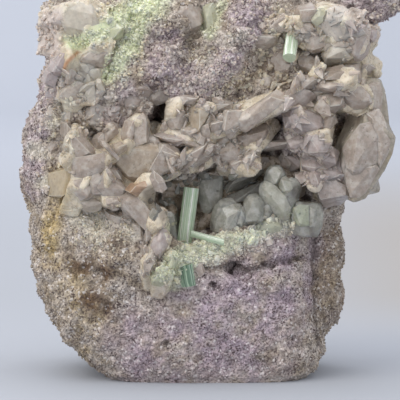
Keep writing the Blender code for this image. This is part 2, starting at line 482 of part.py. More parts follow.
GROWTHS = (
    Growth("main_tourmaline", GREEN_TOURMALINE, (
        Prism((-8.4, -24.0, 33.0), (-5.8, -22.4, 54.6), 4.3, "flat", sides=9, taper=0.96, flat=1.0),
    )),
    Growth("crossing_tourmaline", GREEN_TOURMALINE, (
        Prism((6.0, -25.4, 40.0), (-6.2, -26.4, 41.8), 1.9, "flat", sides=9, taper=0.95, flat=1.0),
    )),
    Growth("lower_tourmaline_stub", DARK_TOURMALINE, (
        Prism((-8.6, -27.0, 38.0), (-6.4, -33.8, 28.6), 4.6, sides=9, taper=0.9, flat=1.0),
    )),
    Growth("upper_tourmaline", GREEN_TOURMALINE, (
        Prism((23.6, -15.0, 103.0), (21.7, -27.2, 91.6), 3.8, "flat", sides=9, taper=0.96, flat=1.0),
    )),
    Growth("green_edged_crystal", MINT_GLASS, (
        Block((26.0, -24.5, 46.0), (7.4, 7.0, 8.6), seed=51, turn=(0.0, 6.0, 18.0), depth=(0.74, 0.88)),
    )),
    Growth("twin_lobed_crystal", MINT_GLASS, (
        Prism((19.8, -21.0, 37.0), (17.4, -27.4, 60.6), 7.0, "domed", roll=20.0, flat=0.75),
        Prism((19.0, -22.5, 42.0), (22.6, -30.2, 57.0), 5.4, "domed", roll=10.0, flat=0.85),
        Prism((19.8, -22.5, 40.0), (15.2, -28.2, 56.2), 5.4, roll=35.0),
    )),
    Growth("dome_crystals", MINT_GLASS, (
        Prism((3.4, -20.5, 37.0), (4.2, -27.0, 51.0), 9.6, "domed", roll=15.0, flat=0.7, taper=0.8),
        Prism((8.2, -22.0, 37.0), (7.8, -28.4, 48.6), 6.4, roll=25.0),
        Prism((12.4, -21.5, 37.0), (11.8, -27.6, 52.4), 7.4, "domed", roll=5.0),
    )),
    Growth("lilac_blunt_prisms", MILKY_QUARTZ, (
        Prism((-16.8, -30.0, 32.0), (-13.6, -36.6, 43.6), 5.6, roll=12.0, flat=0.85),
        Prism((-17.4, -30.0, 28.0), (-17.6, -36.8, 36.6), 4.8, roll=30.0, flat=0.9),
        Prism((-15.0, -30.0, 26.0), (-12.8, -37.0, 33.6), 5.2, roll=5.0, flat=0.9),
        Prism((-14.6, -31.0, 37.0), (-11.0, -36.0, 36.4), 4.0, roll=25.0, flat=0.9),
    )),
    Growth("middle_crystals", MILKY_QUARTZ, (
        Plate((
            (-14.0, 71.7), (-10.4, 77.3), (-5.6, 80.0), (0.0, 78.4), (1.7, 72.5), (-2.0, 67.8),
            (-7.6, 68.0), (-12.2, 68.3),
        ), -27.0, -19.0, seed=61, cuts=1),
        Plate((
            (-0.6, 74.5), (5.6, 77.6), (14.0, 80.4), (18.6, 81.4), (17.0, 76.6), (12.6, 72.4), (8.6, 70.4),
            (2.6, 69.9), (0.0, 70.6),
        ), -27.4, -19.0, seed=62, cuts=1),
        Plate((
            (-9.5, 61.3), (-7.6, 65.5), (-2.0, 69.6), (1.7, 70.0), (2.8, 65.5), (-1.1, 61.0), (-6.2, 59.4),
        ), -28.0, -20.0, seed=63, cuts=1),
        Plate((
            (1.1, 65.5), (2.5, 71.0), (10.6, 70.0), (13.0, 66.4), (11.0, 62.0), (7.3, 59.6), (2.2, 61.0),
        ), -27.4, -20.0, seed=64, cuts=1),
        Prism((-2.6, -28.0, 69.4), (21.2, -32.6, 79.6), 5.8, "blunt", roll=20.0, flat=0.8, taper=0.8),
        Prism((6.0, -24.0, 74.8), (0.4, -30.6, 71.6), 5.0, "point", roll=40.0),
        Prism((-17.0, -22.0, 71.4), (-5.6, -30.8, 68.4), 4.8, "point", roll=5.0),
        Prism((4.0, -23.0, 67.6), (13.8, -29.4, 62.8), 4.4, "point", roll=15.0),
        Prism((17.0, -22.0, 72.4), (11.4, -30.0, 65.6), 5.0, roll=10.0),
        Prism((2.0, -24.0, 68.6), (-9.4, -30.6, 62.2), 5.0, roll=30.0, flat=0.6),
    ), Crowd(11, (4.0, 7.0), (-70.0, 150.0), seed=600)),
    Growth("left_glassy_mass", WAXY_GLASS, (
        Plate((
            (-40.2, 62.0), (-39.0, 67.6), (-38.0, 72.6), (-36.4, 70.0), (-33.2, 66.4), (-31.6, 62.0),
            (-34.2, 57.5), (-38.4, 57.0),
        ), -31.0, -20.0, seed=70, tilt=(-4.0, -8.0), cuts=1, depth=(0.9, 0.95)),
        Plate((
            (-33.0, 65.4), (-26.0, 66.8), (-21.0, 64.5), (-20.0, 57.0), (-23.5, 52.5), (-31.0, 53.6),
            (-35.6, 57.4), (-35.0, 63.0),
        ), -29.6, -20.0, seed=71, tilt=(4.0, 5.0), cuts=1),
        Plate((
            (-30.0, 66.0), (-27.0, 70.4), (-20.0, 71.8), (-15.4, 69.0), (-12.6, 62.0), (-15.6, 55.6),
            (-21.0, 52.6), (-25.4, 57.0),
        ), -28.6, -19.0, seed=72, tilt=(-6.0, -6.0), cuts=1),
        Plate((
            (-17.0, 67.0), (-10.5, 65.0), (-8.8, 62.7), (-10.0, 59.4), (-13.0, 57.6), (-18.0, 57.0),
            (-19.0, 63.0),
        ), -28.0, -19.0, seed=73, tilt=(6.0, 10.0), cuts=1),
        Plate((
            (-39.6, 58.5), (-34.2, 58.6), (-29.4, 55.0), (-28.0, 51.3), (-32.8, 49.8), (-37.5, 49.3),
            (-40.2, 51.5),
        ), -31.0, -21.0, seed=74, tilt=(-8.0, 6.0), cuts=1),
        Plate((
            (-30.8, 54.0), (-25.8, 54.6), (-19.8, 53.4), (-18.6, 49.6), (-24.6, 49.8), (-30.0, 49.6),
        ), -33.4, -21.0, seed=75, tilt=(-10.0, 0.0), cuts=1),
        Plate((
            (-21.4, 53.0), (-17.4, 50.4), (-15.4, 46.4), (-14.8, 42.4), (-17.4, 41.0), (-19.6, 45.4),
            (-21.6, 49.2),
        ), -33.0, -21.0, seed=76, tilt=(0.0, 8.0), cuts=1),
        Prism((-27.0, -22.0, 66.0), (-28.8, -29.6, 73.2), 5.6, "point", roll=10.0),
        Prism((-20.0, -22.0, 66.0), (-20.6, -29.8, 74.6), 6.4, roll=25.0),
    ), Crowd(10, (5.4, 9.4), (-55.0, 60.0), seed=640)),
    Growth("upper_left_glassy_mass", WAXY_GLASS, (
        Plate((
            (-43.4, 104.0), (-34.0, 107.0), (-29.4, 104.4), (-29.7, 101.5), (-32.8, 97.6), (-38.4, 95.4),
            (-43.0, 96.0), (-44.6, 100.9),
        ), -24.6, -14.0, seed=81, tilt=(12.0, -4.0), cuts=1),
        Plate((
            (-43.6, 98.6), (-35.4, 98.6), (-33.4, 92.0), (-38.0, 88.6), (-43.6, 90.0),
        ), -25.4, -15.0, seed=82, cuts=1),
        Plate((
            (-43.0, 91.0), (-37.0, 93.6), (-31.0, 93.4), (-29.0, 90.4), (-30.1, 85.6), (-35.6, 84.6),
            (-42.0, 84.4), (-45.0, 87.4),
        ), -26.6, -16.0, seed=83, tilt=(14.0, 4.0), cuts=1),
        Plate((
            (-45.4, 86.2), (-38.4, 87.4), (-31.0, 86.4), (-29.2, 82.3), (-32.4, 78.0), (-38.4, 77.8),
            (-43.1, 79.4), (-46.0, 81.8),
        ), -26.4, -16.0, seed=84, tilt=(-8.0, -6.0), cuts=1),
    ), Crowd(7, (6.4, 10.0), (-95.0, 100.0), seed=684, rise=(12.0, 30.0), stretch=(0.9, 1.3))),
    Growth("right_milky_crystals", MILKY_QUARTZ, (
        Plate((
            (19.8, 78.4), (24.6, 83.0), (30.0, 84.6), (34.6, 81.4), (34.8, 77.0), (31.6, 73.4),
            (25.0, 73.0), (20.6, 74.0),
        ), -26.0, -16.0, seed=91, cuts=1),
        Plate((
            (20.8, 75.0), (25.4, 78.4), (31.0, 76.0), (33.6, 71.7), (32.5, 66.0), (27.4, 64.0),
            (22.6, 65.6), (20.6, 70.0),
        ), -27.0, -17.0, seed=93, cuts=1),
        Plate((
            (25.4, 66.0), (31.0, 66.4), (34.4, 62.7), (35.6, 57.6), (33.6, 53.4), (29.4, 53.4),
            (25.6, 57.0),
        ), -25.6, -16.0, seed=95, tilt=(-6.0, -4.0), cuts=1),
        Block((29.4, -28.0, 68.2), (6.0, 7.0, 5.6), seed=94, turn=(0.0, -8.0, 10.0), cuts=5),
        Prism((28.2, -20.0, 65.0), (28.6, -30.0, 54.8), 5.0, "domed", roll=10.0),
    ), Crowd(8, (4.6, 7.6), (-60.0, 200.0), seed=720)),
    Growth("right_clear_block", YELLOW_GLASS, (
        Plate((
            (42.4, 84.0), (44.0, 84.8), (46.6, 84.5), (47.6, 81.8), (48.0, 78.1), (49.0, 69.2),
            (47.0, 63.0), (42.0, 65.0), (41.4, 73.4),
        ), -22.0, -10.0, seed=101, tilt=(0.0, 6.0), cuts=3, depth=(0.86, 0.95)),
        Plate((
            (41.7, 75.0), (47.2, 74.5), (49.8, 68.4), (49.0, 64.6), (46.8, 60.0), (43.8, 55.4),
            (41.6, 52.4), (38.6, 51.4), (36.8, 56.6), (35.6, 61.3), (36.8, 67.6),
        ), -27.0, -10.0, seed=102, tilt=(0.0, 8.0), cuts=5, depth=(0.8, 0.93)),
        Block((43.0, -22.0, 67.0), (9.0, 13.0, 15.0), seed=103, turn=(8.0, 20.0, 24.0), cuts=6),
        Block((41.0, -21.0, 58.0), (7.0, 11.0, 10.0), seed=104, turn=(-6.0, -14.0, -20.0), cuts=6),
    )),
    Growth("upper_right_crystals", MILKY_QUARTZ, (
        Plate((
            (24.6, 99.0), (26.0, 103.2), (30.8, 105.6), (37.2, 105.0), (39.2, 101.4), (37.2, 96.0),
            (31.6, 94.4), (26.0, 94.6),
        ), -24.6, -14.0, seed=111, tilt=(10.0, -6.0), cuts=1),
        Plate((
            (34.0, 103.3), (39.2, 103.2), (42.0, 101.7), (43.2, 98.1), (41.4, 93.6), (37.2, 91.2),
            (33.5, 93.0), (32.6, 99.1),
        ), -25.6, -14.0, seed=112, tilt=(4.0, 8.0), cuts=1),
        Plate((
            (38.6, 99.4), (43.1, 100.6), (46.6, 99.2), (47.0, 97.6), (45.9, 95.6), (44.6, 94.2),
            (43.9, 92.0), (42.7, 89.0), (38.4, 88.6),
        ), -20.0, -7.0, seed=113, cuts=1, depth=(0.9, 0.95)),
        Plate((
            (37.0, 91.0), (42.9, 90.2), (43.2, 85.1), (43.5, 81.4), (37.2, 81.4), (35.8, 84.4),
        ), -20.0, -9.0, seed=114, cuts=1),
        Plate((
            (35.3, 82.9), (38.6, 84.2), (43.5, 83.6), (45.3, 80.9), (44.8, 77.6), (40.9, 76.0),
            (36.7, 77.2),
        ), -26.0, -14.0, seed=115, tilt=(6.0, -4.0), cuts=1),
        Prism((37.0, -15.0, 88.2), (46.4, -16.0, 88.5), 3.6, "point", roll=10.0),
        Prism((26.6, -22.0, 86.4), (36.6, -31.0, 83.0), 3.6, "point", roll=15.0),
        Prism((32.0, -18.0, 89.0), (27.6, -28.0, 86.6), 4.8, roll=15.0),
    ), Crowd(7, (5.6, 9.0), (-60.0, 120.0), seed=760, rise=(14.0, 48.0))),
)

# The dull crystals that grow from the hollow's lining
CRUST_CRYSTALS = (
    Prism((17.0, -13.0, 62.0), (3.4, -18.6, 52.0), 4.6, roll=10.0, flat=0.7),
    Prism((21.0, -13.0, 59.6), (8.4, -18.4, 52.0), 4.0, roll=30.0, flat=0.7),
    Prism((3.4, -12.0, 61.0), (0.2, -20.4, 49.4), 5.6, "domed", roll=15.0, flat=0.55),
    Prism((-3.0, -12.6, 56.0), (-2.2, -20.6, 49.0), 3.6, "point"),
    Prism((-14.0, -14.0, 50.0), (-11.6, -23.4, 47.0), 4.6, roll=60.0, flat=0.6),
    Prism((-13.0, -14.0, 44.0), (-10.8, -24.0, 44.6), 3.8, "point", roll=20.0),
    Prism((24.0, -12.5, 56.0), (22.4, -21.6, 52.0), 4.0, roll=20.0),
    Prism((12.0, -11.0, 50.0), (14.2, -20.0, 49.0), 3.4, "point", roll=35.0),
)


@dataclass(frozen=True)
class Knobs:
    """Small blocky crystals grown fast to a stretch of the rock's front."""

    x: Flat
    z: Flat
    size: Flat
    count: int
    seed: int

    def crystals(self) -> List[Block]:
        """The blocks, each half sunk in the face."""
        chance = random.Random(self.seed)
        made = []
        for number in range(self.count):
            x, z, size = chance.uniform(*self.x), chance.uniform(*self.z), chance.uniform(*self.size)
            turn = (chance.uniform(-40, 40), chance.uniform(0, 90), chance.uniform(-40, 40))
            depth = face_at(x, z) + size * 0.2
            sides = (size, size * chance.uniform(0.8, 1.2), size * chance.uniform(0.7, 1.5))
            made.append(Block((x, depth, z), sides, seed=self.seed + number, turn=turn, cuts=3))
        return made


KNOBS = (
    Knobs((-46.0, -34.0), (71.0, 74.0), (3.6, 5.4), 3, seed=200),
    Knobs((-27.0, -17.0), (77.0, 107.0), (3.2, 6.2), 13, seed=230),
    Knobs((-18.0, -6.0), (81.0, 101.0), (2.8, 4.6), 8, seed=260),
    Knobs((-5.0, 12.0), (83.0, 107.0), (3.0, 5.6), 12, seed=290),
    Knobs((12.0, 19.0), (85.0, 106.0), (3.0, 5.0), 5, seed=320),
    Knobs((-26.0, 24.0), (105.0, 113.0), (5.0, 8.0), 6, seed=350),
)


def face_at(x: float, z: float) -> float:
    """How far forward the rock's front stands, bulges and all."""
    return MAIN_BLOCK.face(x, z) - sum(bulge.out(x, z) for bulge in BULGES)


def weathered(point: Vector, middle: Vector, grow: float) -> Vector:
    """The point moved by the front's bulges and by the rock's roughness, and grow further out."""
    out = Vector((point.x - middle.x, point.y - middle.y, 0.0)).normalized()
    if point.z < FLAT_FOOT:
        return point + out * grow
    facing = max(0.0, -out.y)
    swelling = facing * sum(bulge.out(point.x, point.z) for bulge in BULGES)
    fade = min(1.0, point.z / ROUGH_FROM)
    where = point / LUMP_SIZE
    rough = noise.fractal(where, 0.8, 2.1, 3) * ROUGHNESS * fade
    rough_up = noise.noise(where * 1.3 + Vector((40.0, 0.0, 0.0))) * ROUGHNESS * fade
    return point + out * (rough + grow) + Vector((0.0, -swelling, rough_up))


def neighbours(vert: bmesh.types.BMVert) -> List[bmesh.types.BMVert]:
    """The vertices that an edge joins to this one."""
    return [edge.other_vert(vert) for edge in vert.link_edges]


def stacked_rings(outline: Outline, low: float, high: float, columns: int, grow: float) -> bmesh.types.BMesh:
    """A rough rounded block, ring on ring from its flat underside to its broken top."""
    bm = bmesh.new()
    angles = outline.angles(columns)
    ring = bmesh.ops.create_circle(bm, cap_ends=False, segments=columns, radius=1.0)["verts"]
    rim = bm.edges[:]
    first = low + FOOT_ROWS[-1]
    rows = math.ceil((high - first) / ROW_STEP)
    heights = [low + rise for rise in FOOT_ROWS]
    heights += [first + (high - first) * row / rows for row in range(1, rows + 1)]
    for row, height in enumerate(heights):
        if row:
            lifted = bmesh.ops.extrude_edge_only(bm, edges=rim)["geom"]
            fresh = {item for item in lifted if isinstance(item, bmesh.types.BMVert)}
            ring = [next(vert for vert in neighbours(old) if vert in fresh) for old in ring]
            edges = [item for item in lifted if isinstance(item, bmesh.types.BMEdge)]
            rim = [edge for edge in edges if fresh.issuperset(edge.verts)]
        middle = (outline.point(0.0, height) + outline.point(math.pi, height)) / 2.0
        for vert, angle in zip(ring, angles):
            vert.co = weathered(outline.point(angle, height), middle, grow)
    close_holes(bm)
    bmesh.ops.recalc_face_normals(bm, faces=bm.faces)
    bmesh.ops.triangulate(bm, faces=bm.faces)
    return bm


def fractured(bm: bmesh.types.BMesh, grow: float) -> bmesh.types.BMesh:
    """The rock with its broad fracture faces cut, grow further out."""
    centre = Vector((0.0, 0.0, BLOCK_TOP / 2.0))
    for way, share in FRACTURES:
        way = Vector(way).normalized()
        reach = (max((vert.co - centre).dot(way) for vert in bm.verts) - grow) * share + grow
        whole = bm.verts[:] + bm.edges[:] + bm.faces[:]
        bmesh.ops.bisect_plane(bm, geom=whole, plane_co=centre + way * reach, plane_no=way, clear_outer=True)
        close_holes(bm)
    return bm


def solid(name: str, bm: bmesh.types.BMesh) -> bpy.types.Object:
    """An object in the scene with that mesh, in metres."""
    bmesh.ops.scale(bm, verts=bm.verts, vec=(MM, MM, MM))
    mesh = bpy.data.meshes.new(name)
    bm.to_mesh(mesh)
    bm.free()
    made = bpy.data.objects.new(name, mesh)
    bpy.context.scene.collection.objects.link(made)
    return made


def combine(target: bpy.types.Object, shapes: Iterable[bmesh.types.BMesh], operation: str) -> None:
    """Joins the shapes to the target, or cuts them from it, in one Boolean."""
    group = bpy.data.collections.new("tools")
    bpy.context.scene.collection.children.link(group)
    for number, shape in enumerate(shapes):
        tool = solid(f"tool_{number}", shape)
        tool.hide_render = True
        tool.display_type = "WIRE"
        bpy.context.scene.collection.objects.unlink(tool)
        group.objects.link(tool)
    step = target.modifiers.new(operation.lower(), "BOOLEAN")
    step.operation = operation
    step.solver = "EXACT"
    step.operand_type = "COLLECTION"
    step.collection = group
    bpy.context.view_layer.update()
    graph = bpy.context.evaluated_depsgraph_get()
    target.data = bpy.data.meshes.new_from_object(target.evaluated_get(graph))
    target.modifiers.clear()
    for tool in list(group.objects):
        bpy.data.objects.remove(tool)
    bpy.data.collections.remove(group)


def keep_largest(target: bpy.types.Object) -> None:
    """Drops the loose chips that cuts can leave beside the main body, and leaves only triangles."""
    bm = bmesh.new()
    bm.from_mesh(target.data)
    bmesh.ops.remove_doubles(bm, verts=bm.verts, dist=WELD)
    left = set(bm.verts)
    bodies = []
    while left:
        body, reached = set(), [left.pop()]
        while reached:
            vert = reached.pop()
            body.add(vert)
            near = left.intersection(neighbours(vert))
            left -= near
            reached.extend(near)
        bodies.append(body)
    bodies.sort(key=len)
    chips = [vert for body in bodies[:-1] for vert in body]
    bmesh.ops.delete(bm, geom=chips, context="VERTS")
    bmesh.ops.dissolve_limit(bm, angle_limit=FLAT_ENOUGH, verts=bm.verts, edges=bm.edges)
    bmesh.ops.triangulate(bm, faces=bm.faces)
    bm.to_mesh(target.data)
    bm.free()


def clear_scene() -> None:
    """Removes what the scene starts with."""
    for item in list(bpy.data.objects):
        bpy.data.objects.remove(item)


def finish_with(target: bpy.types.Object, finish: Finish) -> None:
    """Gives the solid its own material."""
    target.data.materials.clear()
    target.data.materials.append(finish.material(target.name))


def sockets(growths: Sequence[Growth]) -> List[bmesh.types.BMesh]:
    """What to cut so that these crystals fit."""
    return [crystal.shape(GAP) for growth in growths for crystal in growth.crystals]


def rock_body(name: str, grow: float) -> bpy.types.Object:
    """The rock with its slab, lump, small crystals, hollow and pits, larger by grow on every side."""
    made = solid(name, fractured(stacked_rings(MAIN_BLOCK, 0.0, BLOCK_TOP, BLOCK_COLUMNS, grow), grow))
    slab = stacked_rings(SLAB, SLAB.right[0][0], SLAB.right[-1][0], SLAB_COLUMNS, grow)
    knobs = [crystal.shape(grow) for patch in KNOBS for crystal in patch.crystals()]
    combine(made, [slab, *(lump.shape(grow) for lump in TOP_LUMPS), *knobs], "UNION")
    combine(made, [pit.shape(-grow) for pit in (*HOLLOW, *PITS, *CREVICES)], "DIFFERENCE")
    return made


def cut_clear(target: bpy.types.Object, others: Sequence[bpy.types.Object]) -> None:
    """Cuts these solids from the target."""
    for other in others:
        shape = bmesh.new()
        shape.from_mesh(other.data)
        bmesh.ops.scale(shape, verts=shape.verts, vec=(1.0 / MM, 1.0 / MM, 1.0 / MM))
        combine(target, [shape], "DIFFERENCE")


def make_growth(growth: Growth, mould: bpy.types.Object, keep_clear_of: Sequence[Growth]) -> bpy.types.Object:
    """One solid of the crystals, cut back from the rock and from the crystals that stand through it."""
    first, *others = growth.crystals
    made = solid(growth.name, first.shape())
    if others:
        combine(made, [crystal.shape() for crystal in others], "UNION")
    if growth.crowd:
        combine(made, [gap.shape() for gap in CREVICES], "DIFFERENCE")
    cut_clear(made, [mould])
    if keep_clear_of:
        combine(made, sockets(keep_clear_of), "DIFFERENCE")
    keep_largest(made)
    finish_with(made, growth.finish)
    return made


def make_crust(mould: bpy.types.Object) -> bpy.types.Object:
    """The hollow's lining with its dull crystals."""
    first, second = HOLLOW
    made = solid("hollow_crust", first.shape())
    combine(made, [second.shape()], "UNION")
    front = Block((0.0, LINING_FRONT - 30.0, 50.0), (120.0, 60.0, 60.0), seed=0, cuts=0)
    inner = [replace(lump, detail=1).shape(-LINING) for lump in HOLLOW]
    combine(made, [*inner, front.shape()], "DIFFERENCE")
    combine(made, [crystal.shape() for crystal in CRUST_CRYSTALS], "UNION")
    cut_clear(made, [mould])
    combine(made, sockets(GROWTHS), "DIFFERENCE")
    keep_largest(made)
    finish_with(made, DULL_CRUST)
    return made


def main() -> None:
    """Builds every piece."""
    clear_scene()
    rock = rock_body("matrix_rock", 0.0)
    keep_largest(rock)
    finish_with(rock, ROCK)
    mould = rock_body("mould", GAP)
    for number, growth in enumerate(GROWTHS):
        make_growth(growth, mould, GROWTHS[:number])
    make_crust(mould)
    bpy.data.objects.remove(mould)


main()
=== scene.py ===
"""Dressed model of a pollucite specimen: lilac rock, milky crystals, green prisms and a pale studio."""

import logging
import math
from dataclasses import dataclass, field
from enum import Enum

import bmesh
import bpy
import numpy as np
from mathutils import Matrix, Vector, noise
from mathutils.bvhtree import BVHTree


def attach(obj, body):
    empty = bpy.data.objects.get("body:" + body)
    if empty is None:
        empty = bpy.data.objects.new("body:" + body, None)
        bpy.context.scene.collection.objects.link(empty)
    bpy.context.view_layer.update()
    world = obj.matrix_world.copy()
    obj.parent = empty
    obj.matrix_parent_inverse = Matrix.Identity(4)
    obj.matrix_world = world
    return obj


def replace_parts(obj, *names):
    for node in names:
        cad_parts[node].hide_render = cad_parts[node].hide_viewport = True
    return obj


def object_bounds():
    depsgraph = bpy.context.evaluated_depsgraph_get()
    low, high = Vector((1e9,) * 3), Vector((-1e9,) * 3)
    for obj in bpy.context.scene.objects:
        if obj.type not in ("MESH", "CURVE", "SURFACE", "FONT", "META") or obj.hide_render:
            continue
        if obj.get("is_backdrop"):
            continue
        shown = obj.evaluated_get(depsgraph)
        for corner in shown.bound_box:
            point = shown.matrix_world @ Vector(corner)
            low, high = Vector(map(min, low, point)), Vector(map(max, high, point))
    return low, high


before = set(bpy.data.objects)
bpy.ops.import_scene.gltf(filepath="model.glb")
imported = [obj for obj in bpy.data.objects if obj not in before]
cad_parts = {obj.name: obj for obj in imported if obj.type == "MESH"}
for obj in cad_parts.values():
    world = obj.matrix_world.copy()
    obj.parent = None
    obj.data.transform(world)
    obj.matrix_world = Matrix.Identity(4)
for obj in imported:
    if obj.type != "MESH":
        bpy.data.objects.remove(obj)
log = logging.getLogger("specimen")

MM = 0.001
TINY = 1e-9
PICTURE = 400
NOISE_START = 3


class Habit(Enum):
    """Shapes that a crystal can have."""

    PRISM = "prism"
    BLADE = "blade"
    BLOCK = "block"
    POINT = "point"
    DOME = "dome"
    CHIP = "chip"


class Tint(Enum):
    """Stain colours that lie over the specimen, and painted shade, each kept as an attribute of the meshes.
    """

    MINT = "mint"
    CREAM = "cream"
    YELLOW = "yellow"
    BROWN = "brown"
    LILAC = "lilac"
    RUST = "rust"
    # painted shade: darkening put into crevices, gaps, pores and shaded sides, where shade falls
    PAINTED_SHADE = "shade"


class Gloss(Enum):
    """How clear the crystals of a group are, with the name of their material."""

    GLASSY = "glassy_crystal"
    MILKY = "milky_crystal"
    CLEAR = "clear_crystal"
    DULL = "dull_crystal"
    POCKET = "pocket_crystal"


def srgb(red: float, green: float, blue: float) -> tuple[float, float, float, float]:
    """Turns a screen colour, each part from 0 to 255, into the linear colour that a shader takes."""
    parts = [v / 255 for v in (red, green, blue)]
    linear = [v / 12.92 if v <= 0.04045 else ((v + 0.055) / 1.055) ** 2.4 for v in parts]
    return (*linear, 1.0)


def ramp(values: np.ndarray, start: float, span: float) -> np.ndarray:
    """Rises from 0 at the start to 1 where the span ends, in a straight line."""
    return np.clip((values - start) / span, 0, 1)


def eased(share: np.ndarray) -> np.ndarray:
    """Smooths both ends of a rise from 0 to 1."""
    return share * share * (3 - 2 * share)


@dataclass(frozen=True)
class Viewpoint:
    """Where the camera stands, and how a point of the picture becomes a line in space."""

    target: tuple = (-0.0034, -0.028, 0.0516)
    distance: float = 0.9
    elevation: float = math.radians(5)
    width: float = 0.112
    film: float = 36.0

    @property
    def forward(self) -> Vector:
        """The direction of view."""
        return Vector((0, math.cos(self.elevation), -math.sin(self.elevation)))

    @property
    def upward(self) -> Vector:
        """The direction that is up in the picture."""
        return Vector((0, math.sin(self.elevation), math.cos(self.elevation)))

    @property
    def eye(self) -> Vector:
        """The camera's place."""
        return Vector(self.target) - self.forward * self.distance

    def ray(self, across: float, down: float) -> Vector:
        """Gives the direction from the camera through a place of the picture."""
        side = (across / PICTURE - 0.5) * self.width
        rise = (0.5 - down / PICTURE) * self.width
        return (self.forward * self.distance + self.upward * rise + Vector((side, 0, 0))).normalized()

    def at_depth(self, across: float, down: float, depth: float) -> Vector:
        """Gives the point on the plane y = depth that shows at a place of the picture."""
        way = self.ray(across, down)
        return self.eye + way * ((depth - self.eye.y) / way.y)

    def seen(self, points: np.ndarray) -> np.ndarray:
        """Gives where points show in the picture, across and down, one row each."""
        off = points - np.array(self.eye)
        away = off @ np.array(self.forward)
        scale = self.distance / self.width / away
        across = (off[:, 0] * scale + 0.5) * PICTURE
        down = (0.5 - (off @ np.array(self.upward)) * scale) * PICTURE
        return np.stack([across, down], axis=1)


VIEW = Viewpoint()


class Sock:
    """One output of a shader node, so that sums and products can be written as such."""

    def __init__(self, look: "Look", socket: bpy.types.NodeSocket) -> None:
        """Keeps the socket and the material that it belongs to."""
        self.look = look
        self.socket = socket

    def _maths(self, operation: str, first: object, second: object) -> "Sock":
        """Adds one Math node and gives its result."""
        return self.look.node("ShaderNodeMath", {"operation": operation}, {0: first, 1: second})

    def __add__(self, other: object) -> "Sock":
        """Sum."""
        return self._maths("ADD", self, other)

    def __radd__(self, other: object) -> "Sock":
        """Sum, with the value on the left."""
        return self._maths("ADD", other, self)

    def __sub__(self, other: object) -> "Sock":
        """Difference."""
        return self._maths("SUBTRACT", self, other)

    def __rsub__(self, other: object) -> "Sock":
        """Difference, with the value on the left."""
        return self._maths("SUBTRACT", other, self)

    def __mul__(self, other: object) -> "Sock":
        """Product."""
        return self._maths("MULTIPLY", self, other)

    def __rmul__(self, other: object) -> "Sock":
        """Product, with the value on the left."""
        return self._maths("MULTIPLY", other, self)

    def above(self, low: float, high: float) -> "Sock":
        """Smooth step from 0 at low to 1 at high."""
        return self.look.node("ShaderNodeMapRange", {"interpolation_type": "SMOOTHSTEP"},
                              {"Value": self, "From Min": low, "From Max": high})


class Look:
    """A material and the nodes in it."""

    def __init__(self, name: str) -> None:
        """Makes an empty material of that name."""
        self.material = bpy.data.materials.new(name)
        self.material.use_nodes = True
        self.tree = self.material.node_tree
        self.tree.nodes.clear()
        self.out = self.tree.nodes.new("ShaderNodeOutputMaterial")
        self.place = self.node("ShaderNodeTexCoord", output="Object")

    def node(self, kind: str, settings: dict | None = None, inputs: dict | None = None,
             output: str | int = 0) -> Sock:
        """Adds a node.

        Args:
            kind: the node's type.
            settings: properties to set first.
            inputs: values or links for its sockets, by name or number.
            output: the output that is wanted, by name or number.

        Returns:
            That output, wrapped.
        """
        made = self.tree.nodes.new(kind)
        for key, value in (settings or {}).items():
            setattr(made, key, value)
        for key, value in (inputs or {}).items():
            if isinstance(value, Sock):
                self.tree.links.new(value.socket, made.inputs[key])
            else:
                made.inputs[key].default_value = value
        return Sock(self, made.outputs[output])

    def mix(self, first: object, second: object, share: object) -> Sock:
        """Blends two colours, the second by its share."""
        return self.node("ShaderNodeMix", {"data_type": "RGBA"}, {0: share, 6: first, 7: second}, 2)

    def layered(self, colour: object, layers: tuple) -> object:
        """Lays colours over a first one in turn, each by its share."""
        for shade, share in layers:
            colour = self.mix(colour, shade, share)
        return colour

    def scaled(self, colour: object, factor: object) -> Sock:
        """Makes a colour lighter or darker by a factor."""
        return self.node("ShaderNodeVectorMath", {"operation": "SCALE"}, {0: colour, "Scale": factor})

    def clouds(self, size: float, detail: float = 2.0, roughness: float = 0.5,
               stretch: tuple = (1, 1, 1)) -> Sock:
        """Soft noise.

        Args:
            size: the size of a patch in metres.
            detail: octaves.
            roughness: weight of the finer octaves.
            stretch: how the pattern is scaled along each axis.

        Returns:
            The noise, about 0.5 on average.
        """
        where = self.node("ShaderNodeMapping", None, {"Vector": self.place, "Scale": stretch}, "Vector")
        return self.node("ShaderNodeTexNoise", None,
                         {"Vector": where, "Scale": 1 / size, "Detail": detail, "Roughness": roughness})

    def grains(self, size: float, output: str = "Distance") -> Sock:
        """Cells of a size in metres: Distance from each middle, or Color for one value a cell."""
        return self.node("ShaderNodeTexVoronoi", None, {"Vector": self.place, "Scale": 1 / size}, output)

    def stored(self, name: str) -> Sock:
        """Reads a value that the mesh keeps."""
        return self.node("ShaderNodeAttribute", {"attribute_name": name}, None, "Fac")

    def layer(self, tint: Tint) -> Sock:
        """Reads how strong a stain or the painted shade is here."""
        return self.stored(tint.value)

    def surface(self, values: dict) -> None:
        """Adds the main shader with those values or links and joins it to the output."""
        shader = self.node("ShaderNodeBsdfPrincipled", None, values)
        self.tree.links.new(shader.socket, self.out.inputs["Surface"])

    def absorb(self, colour: tuple, density: float) -> None:
        """Makes the inside take up light but for a colour, the density in each metre."""
        inside = self.node("ShaderNodeVolumeAbsorption", None, {"Color": colour, "Density": density})
        self.tree.links.new(inside.socket, self.out.inputs["Volume"])

    def relief(self, height: Sock, depth: float, strength: float) -> Sock:
        """Fine relief for the Normal socket, from a pattern and its depth in metres."""
        return self.node("ShaderNodeBump", None, {"Height": height, "Distance": depth, "Strength": strength})


